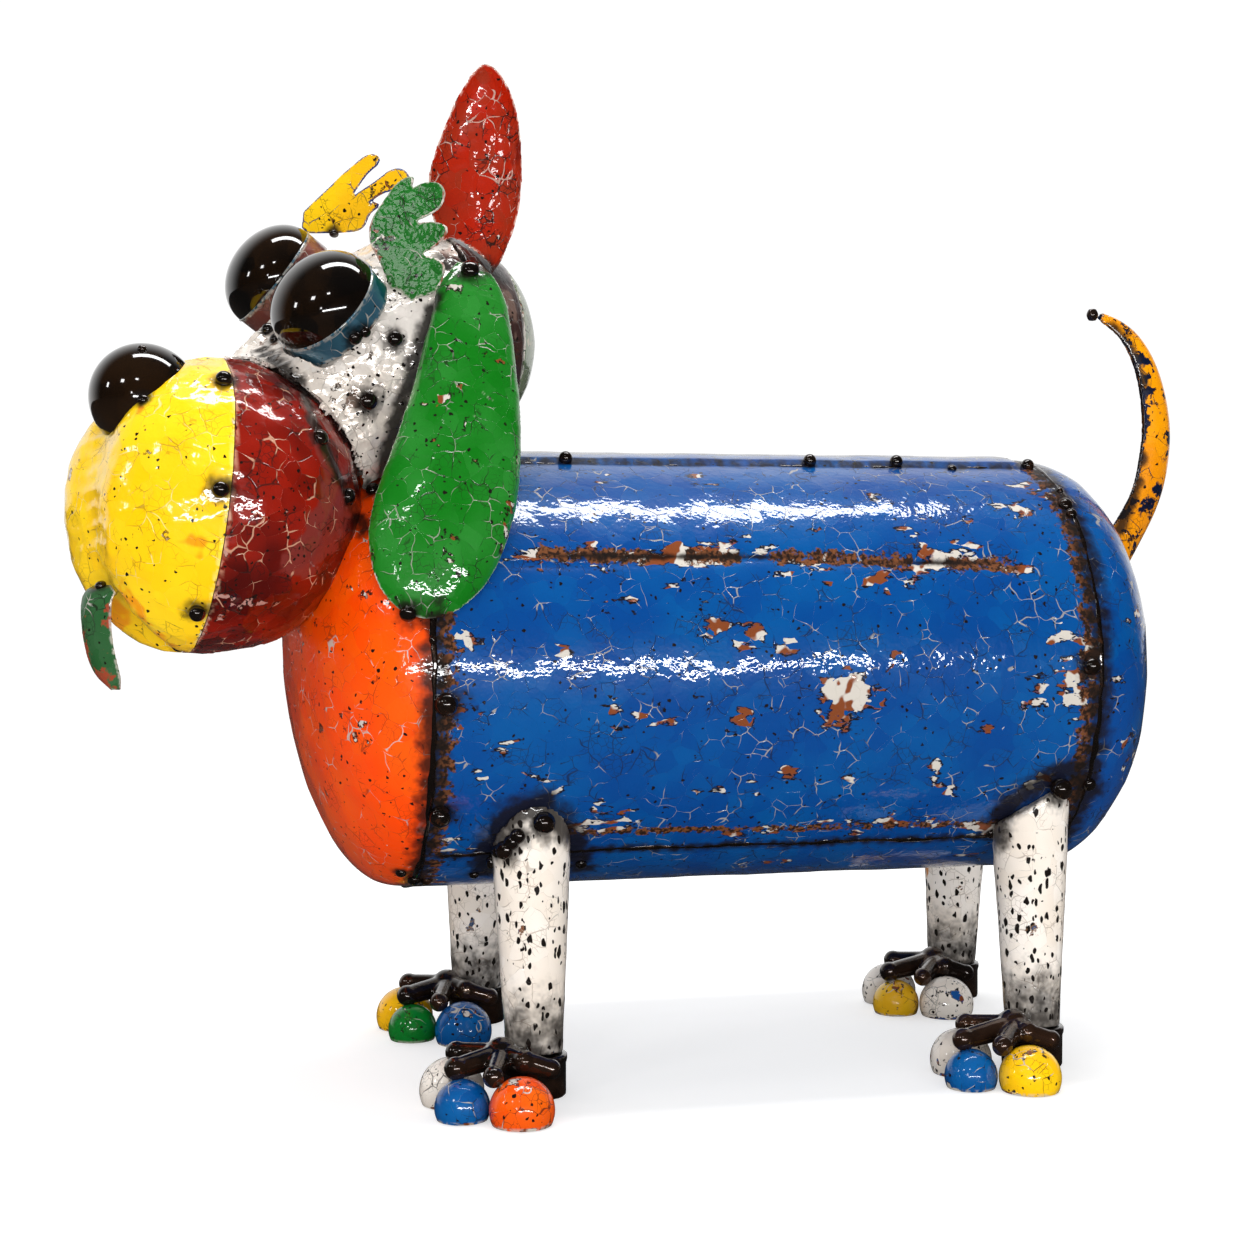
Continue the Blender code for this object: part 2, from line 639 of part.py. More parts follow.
def build_brows():
    """Two cut sheets shaped like open hands above the eyes."""
    along = Vector((0.888, -0.459, 0.0))
    left_up = Vector((0.072, 0.140, 0.988))
    left_face = along.cross(left_up)
    left_turn = Matrix((along, left_up, left_face)).transposed()
    left_foot = HEAD_CENTRE + left_face * (HEAD_RADIUS + SHEET / 2 + BROW_STANDOFF)
    left_foot += along * 0.030 + left_up * 0.026
    left = sheet_cutout("left_brow", LEFT_BROW_OUTLINE, LEFT_BROW_SHARP, PALE_GREEN, left_foot, left_turn)
    right_turn = Matrix((along, UP, along.cross(UP))).transposed()
    right_foot = HEAD_CENTRE + Vector((-0.0846, 0.030, 0.1068))
    right = sheet_cutout("right_brow", RIGHT_BROW_OUTLINE, RIGHT_BROW_SHARP, YELLOW, right_foot, right_turn)
    return left, right


# The tail's middle line, measured from the top of the rump: (towards the rear, up), and its half width
TAIL_LINE = ((0.087, -0.108), (0.112, -0.070), (0.136, -0.029), (0.1445, 0.013), (0.146, 0.044),
             (0.138, 0.090), (0.118, 0.125), (0.092, 0.142))
TAIL_HALF_WIDTHS = (0.0295, 0.0270, 0.0250, 0.0240, 0.0220, 0.0180, 0.0130, 0.0060)
TAIL_YAW = math.radians(-24.0)


def build_tail(rump):
    """A curled half-tube that tapers to a small ball, its hollow side towards the head."""
    top = Vector((DRUM_REAR_X, 0.0, DRUM_AXIS_Z + DRUM_RADIUS))
    line = smooth_path([(x, 0.0, z) for x, z in TAIL_LINE], TAIL_STEPS)
    widths = smooth_path([(w, 0.0, 0.0) for w in TAIL_HALF_WIDTHS], TAIL_STEPS)
    bm = bmesh.new()
    bmesh.ops.create_grid(bm, x_segments=TAIL_STEPS, y_segments=TAIL_SIDES, size=0.5)
    for vertex in bm.verts:
        step = round((vertex.co.x + 0.5) * TAIL_STEPS)
        sweep = (vertex.co.y) * math.radians(200.0)
        before = line[max(step - 1, 0)]
        after = line[min(step + 1, TAIL_STEPS)]
        tangent = (after - before).normalized()
        outward = Vector((tangent.z, 0.0, -tangent.x))
        outward = Matrix.Rotation(TAIL_YAW, 3, tangent) @ outward
        aside = tangent.cross(outward)
        width = widths[step].x
        vertex.co = line[step] + outward * width * math.cos(sweep) + aside * width * math.sin(sweep)
    bmesh.ops.recalc_face_normals(bm, faces=bm.faces)
    tail = add_piece("tail", bm, OCHRE, top)
    wall = tail.modifiers.new("wall", "SOLIDIFY")
    wall.thickness = SHEET
    wall.offset = 0.0
    carve(tail, rump)
    tangent = (line[-1] - line[-2]).normalized()
    tip_place = top + line[-1] + tangent * (TAIL_BALL_RADIUS + GAP * 3)
    tip = add_piece("tail_tip", ball(TAIL_BALL_RADIUS, 8, 5), BURNT, tip_place)
    return tail, tip


# The tongue's middle line: (forward of the muzzle's centre, up)
TONGUE_LINE = ((0.094, -0.068), (0.106, -0.075), (0.108, -0.092), (0.106, -0.118), (0.099, -0.142),
               (0.090, -0.156))
TONGUE_STEPS = 8


def build_tongue(muzzle_ball):
    """A bent strip that hangs from the foot of the crease."""
    line = smooth_path([HEAD_AXIS * forward + UP * up for forward, up in TONGUE_LINE], TONGUE_STEPS)
    side = Matrix.Rotation(TONGUE_TWIST, 3, "Z") @ HEAD_SIDE
    ahead = Matrix.Rotation(TONGUE_TWIST, 3, "Z") @ HEAD_AXIS
    bm = bmesh.new()
    bmesh.ops.create_grid(bm, x_segments=TONGUE_STEPS, y_segments=4, size=0.5)
    for vertex in bm.verts:
        step = round((vertex.co.x + 0.5) * TONGUE_STEPS)
        progress = step / TONGUE_STEPS
        round_end = math.sqrt(max(0.06, 1.0 - max(0.0, (progress - 0.72) / 0.28) ** 2))
        width = TONGUE_WIDTH * (1.0 - 0.18 * progress) * round_end
        cup = 0.006 * (1.0 - (2.0 * vertex.co.y) ** 2)
        vertex.co = line[step] + side * vertex.co.y * width + ahead * cup
    bmesh.ops.recalc_face_normals(bm, faces=bm.faces)
    tongue = add_piece("tongue", bm, PALE_GREEN, MUZZLE_CENTRE)
    wall = tongue.modifiers.new("wall", "SOLIDIFY")
    wall.thickness = SHEET
    wall.offset = 0.0
    carve(tongue, muzzle_ball)
    return tongue


def drum_point(x, angle):
    """Place on the drum's skin and its outward normal, angle measured from the top to the left."""
    normal = Vector((0.0, -math.sin(angle), math.cos(angle)))
    return Vector((x, 0.0, DRUM_AXIS_Z)) + normal * DRUM_RADIUS, normal


def build_bolts(muzzle_ball):
    """Weld heads on the body's seams and along the muzzle's seam."""
    for index, angle in enumerate(CHEST_BOLT_ANGLES):
        for side, label in ((1, "left"), (-1, "right")):
            point, normal = drum_point(DRUM_FRONT_X + BOLT_RADIUS * 1.2, side * angle)
            bolt(f"chest_bolt_{label}_{index + 1}", point, normal, LARGE_BOLT_RADIUS)
    for side, label in ((1, "left"), (-1, "right")):
        point, normal = drum_point(DRUM_REAR_X - BOLT_RADIUS * 1.2, side * RUMP_BOLT_ANGLE)
        bolt(f"rump_bolt_{label}", point, normal)
    for index, station in enumerate(TOP_BOLT_STATIONS):
        point, normal = drum_point(DRUM_FRONT_X + station * DRUM_LENGTH, TOP_SEAM_ANGLE)
        bolt(f"top_seam_bolt_{index + 1}", point, normal, SMALL_BOLT_RADIUS)
    ring_side = UP.cross(SEAM_NORMAL).normalized()
    ring_up = SEAM_NORMAL.cross(ring_side).normalized()
    for index, turn in enumerate(MUZZLE_BOLT_TURNS):
        direction = (ring_up * math.cos(turn) + ring_side * math.sin(turn)) * MUZZLE_RADIUS
        direction = (direction + SEAM_NORMAL * MUZZLE_BOLT_FORWARD).normalized()
        head = bolt(f"muzzle_bolt_{index + 1}", muzzle_point(direction) - direction * SHEET / 2, direction,
                    MUZZLE_BOLT_RADIUS)
        carve(head, muzzle_ball)


def build_leg_bolts(legs, drum):
    """One weld head on the outer side of each left leg, at its rise above the drum's foot and its swing."""
    for name, ankle_x, lean, (rise, swing) in (
            ("front_left", 0.0, FRONT_LEG_LEAN, LEG_BOLT_PLACES[0]),
            ("rear_left", REAR_LEG_X, REAR_LEG_LEAN, LEG_BOLT_PLACES[1])):
        ankle, top = leg_line(ankle_x, -1, lean)
        share = (DRUM_AXIS_Z - DRUM_RADIUS + rise - ankle.z) / (top.z - ankle.z)
        radius = ANKLE_RADIUS + (LEG_TOP_RADIUS - ANKLE_RADIUS) * share
        normal = Vector((math.sin(swing), -math.cos(swing), 0.0))
        head = bolt(f"{name}_leg_bolt", ankle.lerp(top, share) + normal * radius, normal,
                    LARGE_BOLT_RADIUS)
        carve(head, *legs, drum)


def shift_to_footprint():
    """Moves the root so that the origin is the middle of the footprint of the whole."""
    bpy.context.view_layer.update()
    graph = bpy.context.evaluated_depsgraph_get()
    corners = []
    for obj in PARTS.objects:
        if obj.type == "MESH":
            shaped = obj.evaluated_get(graph)
            corners += [shaped.matrix_world @ vertex.co for vertex in shaped.data.vertices]
    low = [min(corner[axis] for corner in corners) for axis in range(3)]
    high = [max(corner[axis] for corner in corners) for axis in range(3)]
    ROOT.location = (-(low[0] + high[0]) / 2, -(low[1] + high[1]) / 2, -low[2])


def build_dog():
    drum = build_drum()
    chest = build_dome("chest_dome", CHEST_DEPTH, CHEST_LIFT, -1, DRUM_FRONT_X, ORANGE)
    rump = build_dome("rump_dome", RUMP_DEPTH, 0.0, 1, DRUM_REAR_X, BLUE)
    far_rear_x = REAR_LEG_X + FAR_REAR_SETBACK
    legs = [build_leg("front_left_leg", 0.0, -1, FRONT_LEG_LEAN, drum, (chest,)),
            build_leg("front_right_leg", 0.0, 1, FRONT_LEG_LEAN, drum, (chest,)),
            build_leg("rear_left_leg", REAR_LEG_X, -1, REAR_LEG_LEAN, drum, (rump,), REAR_TOP_SLOPE),
            build_leg("rear_right_leg", far_rear_x, 1, REAR_LEG_LEAN, drum, (rump,), REAR_TOP_SLOPE)]
    build_foot("front_left", 0.0, -1, (ORANGE, BLUE, WHITE), FRONT_TOE_PLACES, legs[0])
    build_foot("front_right", 0.0, 1, (BLUE, GREEN, YELLOW), FRONT_TOE_PLACES, legs[1])
    build_foot("rear_left", REAR_LEG_X, -1, (YELLOW, BLUE, WHITE), REAR_TOE_PLACES, legs[2])
    build_foot("rear_right", far_rear_x, 1, (WHITE, OCHRE, WHITE), REAR_TOE_PLACES, legs[3])
    build_tail(rump)

    front, back, muzzle_ball = build_muzzle()
    nose = build_nose(muzzle_ball)
    build_tongue(muzzle_ball)
    eyes = ((HEAD_CENTRE + NEAR_EYE, gaze(HEAD_YAW + EYE_SPLAY, EYE_PITCH)),
            (HEAD_CENTRE + FAR_EYE, gaze(HEAD_YAW - EYE_SPLAY, EYE_PITCH)))
    left_ball, left_collar = build_eye("left_eye", *eyes[0])
    right_ball, right_collar = build_eye("right_eye", *eyes[1])
    carve(chest, muzzle_ball)
    face, face_form = build_face(eyes)
    carve(face, muzzle_ball, drum, chest, left_collar, right_collar, left_ball, right_ball)
    band, back_dome = build_skull()
    carve(band, drum, chest)
    carve(back_dome, drum)
    left_ear = build_near_ear()
    carve(left_ear, face_form, band, back_dome, drum, left_collar)
    right_ear = build_red_ear()
    carve(right_ear, band, back_dome, face_form, left_ear)
    left_brow, right_brow = build_brows()
    carve(left_brow, face_form, band, left_ear, right_ear, left_collar, left_ball)
    carve(right_brow, face_form, band, right_collar, right_ball, left_brow)
    build_bolts(muzzle_ball)
    build_leg_bolts(legs, drum)


build_dog()
shift_to_footprint()
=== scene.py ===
"""Looks of a welded scrap metal dog: dented sheets, crackled glossy paint, weld beads and a pale studio.

Metres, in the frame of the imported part: the nose points to -X, the tail to +X, the dog's left side to -Y.
"""

import logging
import math
import random
from collections.abc import Iterable, Sequence
from dataclasses import dataclass
from enum import Enum

import bpy
import numpy as np
from mathutils import Matrix, Vector
from mathutils.bvhtree import BVHTree
from mathutils.kdtree import KDTree


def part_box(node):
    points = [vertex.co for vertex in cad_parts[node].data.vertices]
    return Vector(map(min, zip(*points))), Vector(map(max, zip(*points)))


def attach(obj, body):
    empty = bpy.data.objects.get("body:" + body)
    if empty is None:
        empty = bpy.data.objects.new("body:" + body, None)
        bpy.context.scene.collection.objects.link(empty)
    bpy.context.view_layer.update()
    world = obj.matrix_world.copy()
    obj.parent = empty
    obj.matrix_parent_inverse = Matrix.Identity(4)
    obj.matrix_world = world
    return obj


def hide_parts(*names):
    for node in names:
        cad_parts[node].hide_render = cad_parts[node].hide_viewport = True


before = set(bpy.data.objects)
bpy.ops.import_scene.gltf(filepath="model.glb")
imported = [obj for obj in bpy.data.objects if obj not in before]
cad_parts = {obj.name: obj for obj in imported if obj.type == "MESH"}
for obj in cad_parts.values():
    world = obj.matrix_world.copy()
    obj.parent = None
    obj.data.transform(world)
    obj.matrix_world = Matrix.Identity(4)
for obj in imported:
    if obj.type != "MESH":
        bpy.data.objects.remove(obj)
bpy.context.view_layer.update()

LOG = logging.getLogger("scrap_dog")
Colour = tuple[float, float, float]
Pixel = tuple[float, float]
Place = tuple[float, float, float]
Piece = bpy.types.Object
Socket = bpy.types.NodeSocket

UP = Vector((0.0, 0.0, 1.0))
BODY = "root"

# Driving sizes of the dog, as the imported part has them
DRUM_RADIUS = 0.200
DRUM_LENGTH = 0.606
DRUM_FRONT_X = -0.094
DRUM_AXIS_Z = 0.363
HEAD_YAW = math.radians(22.0)
HEAD_PLACE = Vector((-0.0757, 0.0, 0.6635))
MUZZLE_PLACE = HEAD_PLACE + Vector((-math.cos(HEAD_YAW), -math.sin(HEAD_YAW), 0.0)) * 0.207 - UP * 0.1508

# The point on the ground midway between the front ankles, from which the dog is laid out
LAYOUT = Vector((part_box("body_drum")[0][0] - DRUM_FRONT_X,
                 (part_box("body_drum")[0][1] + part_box("body_drum")[1][1]) / 2, 0.0))

# The photograph: its size and focal length in pixels, and the camera's place and aim in the layout
IMAGE_SIZE = 1254
FOCAL_PIXELS = 2119.0
CAMERA_DROP_PIXELS = 77.0
CAMERA_YAW = math.radians(13.7)
CAMERA_PLACE = LAYOUT + Vector((-0.356, -1.952, 0.4745))
SENSOR_WIDTH = 36.0


class Mark(Enum):
    """What the heat and the weather leave on a surface, each kept as a point attribute; the scorch mark also
    carries painted shade.
    """

    SCORCH_AND_SHADE = "scorch_and_shade"
    RUST = "rust"
    FLAKED = "flaked"


class Slot(Enum):
    """Material slots that the pieces take their finishes from."""

    DRUM = "drum_blue"
    CHEST = "chest_orange"
    TAIL = "tail_ochre"
    MUZZLE_FRONT = "muzzle_yellow"
    MUZZLE_BACK = "muzzle_maroon"
    TONGUE = "tongue_green"
    STEEL_BAND = "eye_band_steel"
    MAROON_BAND = "eye_band_maroon"
    FACE = "face_silver"
    SKULL = "skull_brown"
    SKULL_BACK = "skull_grey_green"
    GREEN_EAR = "ear_green"
    RED_EAR = "ear_red"
    GREEN_BROW = "brow_green"
    YELLOW_BROW = "brow_yellow"
    LEG = "leg_white"
    ORANGE_TOE = "toe_orange"
    BLUE_TOE = "toe_blue"
    WHITE_TOE = "toe_white"
    GREEN_TOE = "toe_green"
    YELLOW_TOE = "toe_yellow"
    OCHRE_TOE = "toe_ochre"
    LACQUER = "black_lacquer"
    BURNT = "burnt_metal"


def heading(yaw: float) -> Vector:
    """Level direction towards the nose, turned by yaw to the dog's left."""
    return Vector((-math.cos(yaw), -math.sin(yaw), 0.0))


def gaze(yaw: float, pitch: float) -> Vector:
    """Direction with the given yaw, raised by pitch."""
    return heading(yaw) * math.cos(pitch) + UP * math.sin(pitch)


HEAD_AXIS = heading(HEAD_YAW)
HEAD_SIDE = Vector((-math.sin(HEAD_YAW), math.cos(HEAD_YAW), 0.0))
HEAD_CENTRE = LAYOUT + HEAD_PLACE
MUZZLE_CENTRE = LAYOUT + MUZZLE_PLACE
DRUM_FRONT = LAYOUT + Vector((DRUM_FRONT_X, 0.0, DRUM_AXIS_Z))
DRUM_REAR = DRUM_FRONT + Vector((DRUM_LENGTH, 0.0, 0.0))


def smooth(values: np.ndarray, low: float, high: float) -> np.ndarray:
    """Smooth step from 0 at low to 1 at high.

    Args:
        values: Numbers to step.
        low: Where the step starts.
        high: Where the step ends.

    Returns:
        The stepped numbers, from 0 to 1.
    """
    share = np.clip((values - low) / (high - low), 0.0, 1.0)
    return share * share * (3.0 - 2.0 * share)


def deselect_all() -> None:
    """Leaves nothing selected, the loaded nodes included."""
    if bpy.context.object and bpy.context.object.mode != "OBJECT":
        bpy.ops.object.mode_set(mode="OBJECT")
    bpy.ops.object.select_all(action="DESELECT")


def take_up(piece: Piece) -> None:
    """Makes the piece the only selected and the active object.

    Args:
        piece: The piece to select.
    """
    deselect_all()
    piece.select_set(True)
    bpy.context.view_layer.objects.active = piece


def settle(name: str) -> Piece:
    """Names the new primitive, puts its place and turn into its mesh and returns it.

    Args:
        name: The piece's name.

    Returns:
        The finished primitive.
    """
    piece = bpy.context.object
    piece.name = name
    piece.data.name = name
    bpy.ops.object.transform_apply(location=True, rotation=True, scale=True)
    return piece


def add_ball(name: str, radius: float, segments: int, rings: int, place: Vector = Vector()) -> Piece:
    """Adds a round ball.

    Args:
        name: The piece's name.
        radius: The ball's radius.
        segments: Faces round its middle.
        rings: Faces from pole to pole.
        place: The ball's centre.

    Returns:
        The new piece.
    """
    deselect_all()
    bpy.ops.mesh.primitive_uv_sphere_add(segments=segments, ring_count=rings, radius=radius, location=place)
    return settle(name)


def add_bar(name: str, start: Vector, end: Vector, radius: float, end_radius: float,
            sides: int = 24) -> Piece:
    """Adds a tapered round bar between two points.

    Args:
        name: The piece's name.
        start: Middle of its first end.
        end: Middle of its second end.
        radius: Radius at the start.
        end_radius: Radius at the end.
        sides: Faces round it.

    Returns:
        The new piece.
    """
    deselect_all()
    reach = end - start
    turn = reach.to_track_quat("Z", "Y").to_euler()
    bpy.ops.mesh.primitive_cone_add(vertices=sides, radius1=radius, radius2=end_radius, depth=reach.length,
                                    location=(start + end) / 2, rotation=turn)
    return settle(name)


def in_edit(piece: Piece) -> None:
    """Opens the piece for editing with its whole mesh selected.

    Args:
        piece: The piece to open.
    """
    take_up(piece)
    bpy.ops.object.mode_set(mode="EDIT")
    bpy.ops.mesh.select_all(action="SELECT")


def out_of_edit() -> None:
    """Closes the piece that is being edited."""
    bpy.ops.object.mode_set(mode="OBJECT")


def cut_flat(piece: Piece, point: Vector, normal: Vector) -> None:
    """Cuts the piece on a plane and closes it, keeping what lies on the normal's side.

    Args:
        piece: The piece to cut.
        point: A point of the plane.
        normal: The plane's normal, on the side that is kept.
    """
    in_edit(piece)
    bpy.ops.mesh.bisect(plane_co=point, plane_no=normal, use_fill=True, clear_inner=True)
    out_of_edit()


def row_up(piece: Piece, direction: Vector, length: float, cuts: int) -> None:
    """Divides the piece's long edges along a direction into rows.

    Args:
        piece: The piece to divide.
        direction: The direction of the edges.
        length: Only edges at least this long are divided.
        cuts: New rows across each edge.
    """
    take_up(piece)
    mesh = piece.data
    for item in (*mesh.vertices, *mesh.polygons, *mesh.edges):
        item.select = False
    for edge in mesh.edges:
        reach = mesh.vertices[edge.vertices[1]].co - mesh.vertices[edge.vertices[0]].co
        edge.select = reach.length > length and abs(reach.normalized().dot(direction)) > 0.97
    bpy.context.tool_settings.mesh_select_mode = (False, True, False)
    bpy.ops.object.mode_set(mode="EDIT")
    bpy.ops.mesh.subdivide(number_cuts=cuts)
    out_of_edit()
    bpy.context.tool_settings.mesh_select_mode = (True, False, False)


def finish_with(piece: Piece, kind: str, **settings: object) -> None:
    """Adds a modifier of that kind with its settings and applies it.

    Args:
        piece: The piece to finish.
        kind: The modifier's type.
        **settings: Values of the modifier.
    """
    take_up(piece)
    modifier = piece.modifiers.new(kind.lower(), kind)
    for key, value in settings.items():
        setattr(modifier, key, value)
    bpy.ops.object.modifier_apply(modifier=modifier.name)


def weave_even(piece: Piece, voxel: float, passes: int = 2) -> None:
    """Evens out the piece's faces to the voxel size and eases its steps."""
    finish_with(piece, "REMESH", mode="VOXEL", voxel_size=voxel, adaptivity=0.0)
    if passes:
        finish_with(piece, "SMOOTH", factor=0.5, iterations=passes)


def refined(name: str, node: str, voxel: float, levels: int = 2, passes: int = 2) -> Piece:
    """Copies a node of the part and gives the copy a fine even mesh with the same sharp edges.

    Args:
        name: The new piece's name.
        node: The node to copy.
        voxel: Size of the fine faces.
        levels: Times that the round surfaces are subdivided first.
        passes: Smoothing passes after that.

    Returns:
        The new piece.
    """
    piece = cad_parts[node].copy()
    piece.data = piece.data.copy()
    piece.name = name
    piece.parent = None
    piece.matrix_world = Matrix()
    piece.data.materials.clear()
    bpy.context.scene.collection.objects.link(piece)
    in_edit(piece)
    bpy.ops.mesh.remove_doubles(threshold=0.00004)
    bpy.ops.mesh.tris_convert_to_quads(face_threshold=math.radians(30.0), shape_threshold=math.radians(60.0))
    bpy.ops.mesh.select_mode(type="EDGE")
    bpy.ops.mesh.select_all(action="DESELECT")
    bpy.ops.mesh.edges_select_sharp(sharpness=math.radians(38.0))
    out_of_edit()
    sharp = [float(edge.select) for edge in piece.data.edges]
    crease = piece.data.attributes.new("crease_edge", "FLOAT", "EDGE")
    crease.data.foreach_set("value", sharp)
    finish_with(piece, "SUBSURF", levels=levels, render_levels=levels)
    weave_even(piece, voxel, passes)
    return piece


def joined(name: str, parts: Sequence[Piece]) -> Piece:
    """Joins the parts into one piece under a new name.

    Args:
        name: The joined piece's name.
        parts: The pieces to join.

    Returns:
        The joined piece.
    """
    deselect_all()
    for part in parts:
        part.select_set(True)
    bpy.context.view_layer.objects.active = parts[0]
    if len(parts) > 1:
        bpy.ops.object.join()
    parts[0].name = name
    parts[0].data.name = name
    return parts[0]


def copied(name: str, piece: Piece, shift: Vector) -> Piece:
    """Copies the piece with its own mesh, moved by the shift.

    Args:
        name: The copy's name.
        piece: The piece to copy.
        shift: How far the copy is moved.

    Returns:
        The copy.
    """
    copy = piece.copy()
    copy.data = piece.data.copy()
    copy.name = name
    copy.data.name = name
    copy.data.transform(Matrix.Translation(shift))
    bpy.context.scene.collection.objects.link(copy)
    return copy


def points_of(piece: Piece) -> np.ndarray:
    """Places of the piece's points, one row each.

    Args:
        piece: The piece to read.

    Returns:
        The places, three numbers in a row.
    """
    flat = np.empty(len(piece.data.vertices) * 3)
    piece.data.vertices.foreach_get("co", flat)
    return flat.reshape(-1, 3)


def normals_of(piece: Piece) -> np.ndarray:
    """Outward normals at the piece's points, one row each.

    Args:
        piece: The piece to read.

    Returns:
        The normals, three numbers in a row.
    """
    flat = np.empty(len(piece.data.vertices) * 3)
    piece.data.vertex_normals.foreach_get("vector", flat)
    return flat.reshape(-1, 3)


def move_points(piece: Piece, points: np.ndarray) -> None:
    """Puts the piece's points at the given places."""
    piece.data.vertices.foreach_set("co", points.ravel())
    piece.data.update()


def raise_points(piece: Piece, heights: np.ndarray) -> None:
    """Moves the piece's points along their normals."""
    move_points(piece, points_of(piece) + normals_of(piece) * heights[:, None])


def hammer(piece: Piece, spacing: float, depth: float, seed: int) -> None:
    """Beats round hollows into the piece, which meet in curved ridges.

    Args:
        piece: The piece to beat.
        spacing: Usual distance between two blows.
        depth: Depth of a hollow.
        seed: Seed of the blows' places.
    """
    draw = random.Random(seed)
    points = points_of(piece)
    order = list(range(len(points)))
    draw.shuffle(order)
    blows: list[int] = []
    grid: dict[tuple[int, ...], list[int]] = {}
    for index in order[:6000]:
        cell = tuple(int(c // spacing) for c in points[index])
        near = [other for dx in (-1, 0, 1) for dy in (-1, 0, 1) for dz in (-1, 0, 1)
                for other in grid.get((cell[0] + dx, cell[1] + dy, cell[2] + dz), ())]
        if all(np.linalg.norm(points[index] - points[other]) > spacing * 0.8 for other in near):
            grid.setdefault(cell, []).append(index)
            blows.append(index)
    tree = KDTree(len(blows))
    depths = [depth * draw.uniform(0.3, 1.0) for _ in blows]
    for number, index in enumerate(blows):
        tree.insert(points[index], number)
    tree.balance()
    heights = np.empty(len(points))
    for index, point in enumerate(points):
        _, number, distance = tree.find(point)
        heights[index] = -depths[number] * max(0.0, 1.0 - (distance / (spacing * 0.75)) ** 2)
    raise_points(piece, heights)


def ripple(piece: Piece, size: float, depth: float, kind: str = "CLOUDS", **settings: object) -> None:
    """Presses a random relief into the piece, inwards only.

    Args:
        piece: The piece to press.
        size: Size of the relief's waves.
        depth: Its greatest depth.
        kind: The relief's kind of texture.
        **settings: More values of that texture.
    """
    relief = bpy.data.textures.new(f"{piece.name}_relief", kind)
    relief.noise_scale = size
    for key, value in settings.items():
        setattr(relief, key, value)
    finish_with(piece, "DISPLACE", texture=relief, texture_coords="LOCAL", strength=depth, mid_level=1.0)


def shade(piece: Piece, angle: float = 50.0) -> None:
    """Shades the piece smooth, except across edges sharper than the angle in degrees."""
    take_up(piece)
    bpy.ops.object.shade_smooth_by_angle(angle=math.radians(angle))


class NodeBench:
    """Adds and wires the nodes of one tree."""

    def __init__(self, tree: bpy.types.NodeTree) -> None:
        """Starts on a tree."""
        self.tree = tree

    def add(self, kind: str, inputs: dict[str | int, object] | None = None,
            **settings: object) -> bpy.types.Node:
        """Adds a node.

        Args:
            kind: The node's type.
            inputs: A value or a socket to wire for each named input.
            **settings: Values of the node itself.

        Returns:
            The new node.
        """
        node = self.tree.nodes.new(kind)
        for key, value in settings.items():
            setattr(node, key, value)
        for key, value in (inputs or {}).items():
            if isinstance(value, Socket):
                self.tree.links.new(value, node.inputs[key])
            else:
                node.inputs[key].default_value = value
        return node

    def maths(self, operation: str, first: object, second: object = 0.0, clamp: bool = False,
              third: object = 0.0) -> Socket:
        """Result of a sum on up to three values."""
        node = self.add("ShaderNodeMath", {0: first, 1: second, 2: third}, operation=operation,
                        use_clamp=clamp)
        return node.outputs[0]

    def steps(self, value: object, low: object, high: object, to_low: float = 0.0,
              to_high: float = 1.0) -> Socket:
        """Value eased from one range to another, and held at its ends.

        Args:
            value: The number to ease.
            low: Where the first range starts.
            high: Where the first range ends.
            to_low: The result at low.
            to_high: The result at high.

        Returns:
            The eased number.
        """
        node = self.add("ShaderNodeMapRange", {"Value": value, "From Min": low, "From Max": high,
                                               "To Min": to_low, "To Max": to_high},
                        interpolation_type="SMOOTHSTEP")
        return node.outputs[0]

    def blend(self, share: object, under: object, over: object) -> Socket:
        """Colour that goes from under to over as the share goes from 0 to 1.

        Args:
            share: How much of over shows, from 0 to 1.
            under: The colour at 0.
            over: The colour at 1.

        Returns:
            The blended colour.
        """
        node = self.add("ShaderNodeMix", data_type="RGBA")
        for index, value in ((0, share), (6, under), (7, over)):
            if isinstance(value, Socket):
                self.tree.links.new(value, node.inputs[index])
            else:
                node.inputs[index].default_value = value if index == 0 else (*value, 1.0)
        return node.outputs[2]

    def noise(self, vector: Socket, scale: object, detail: float = 2.0,
              roughness: float = 0.5) -> bpy.types.Node:
        """Noise texture on the vector."""
        return self.add("ShaderNodeTexNoise", {"Vector": vector, "Scale": scale, "Detail": detail,
                                               "Roughness": roughness})

    def warped(self, vector: Socket, scale: object, reach: object) -> Socket:
        """The vector pushed about by noise of that scale, as far as the reach.

        Args:
            vector: The vector to push.
            scale: Scale of the noise.
            reach: How far it is pushed.

        Returns:
            The pushed vector.
        """
        push = self.noise(vector, scale, 0.0).outputs["Color"]
        centred = self.add("ShaderNodeVectorMath", {0: push, 1: (0.5, 0.5, 0.5)}, operation="SUBTRACT")
        sized = self.add("ShaderNodeVectorMath", {0: centred.outputs[0], "Scale": reach}, operation="SCALE")
        return self.add("ShaderNodeVectorMath", {0: vector, 1: sized.outputs[0]}, operation="ADD").outputs[0]

    def group(self, name: str, inputs: dict[str, object]) -> bpy.types.Node:
        """Places a shared effect with its values."""
        return self.add("ShaderNodeGroup", inputs, node_tree=bpy.data.node_groups[name])


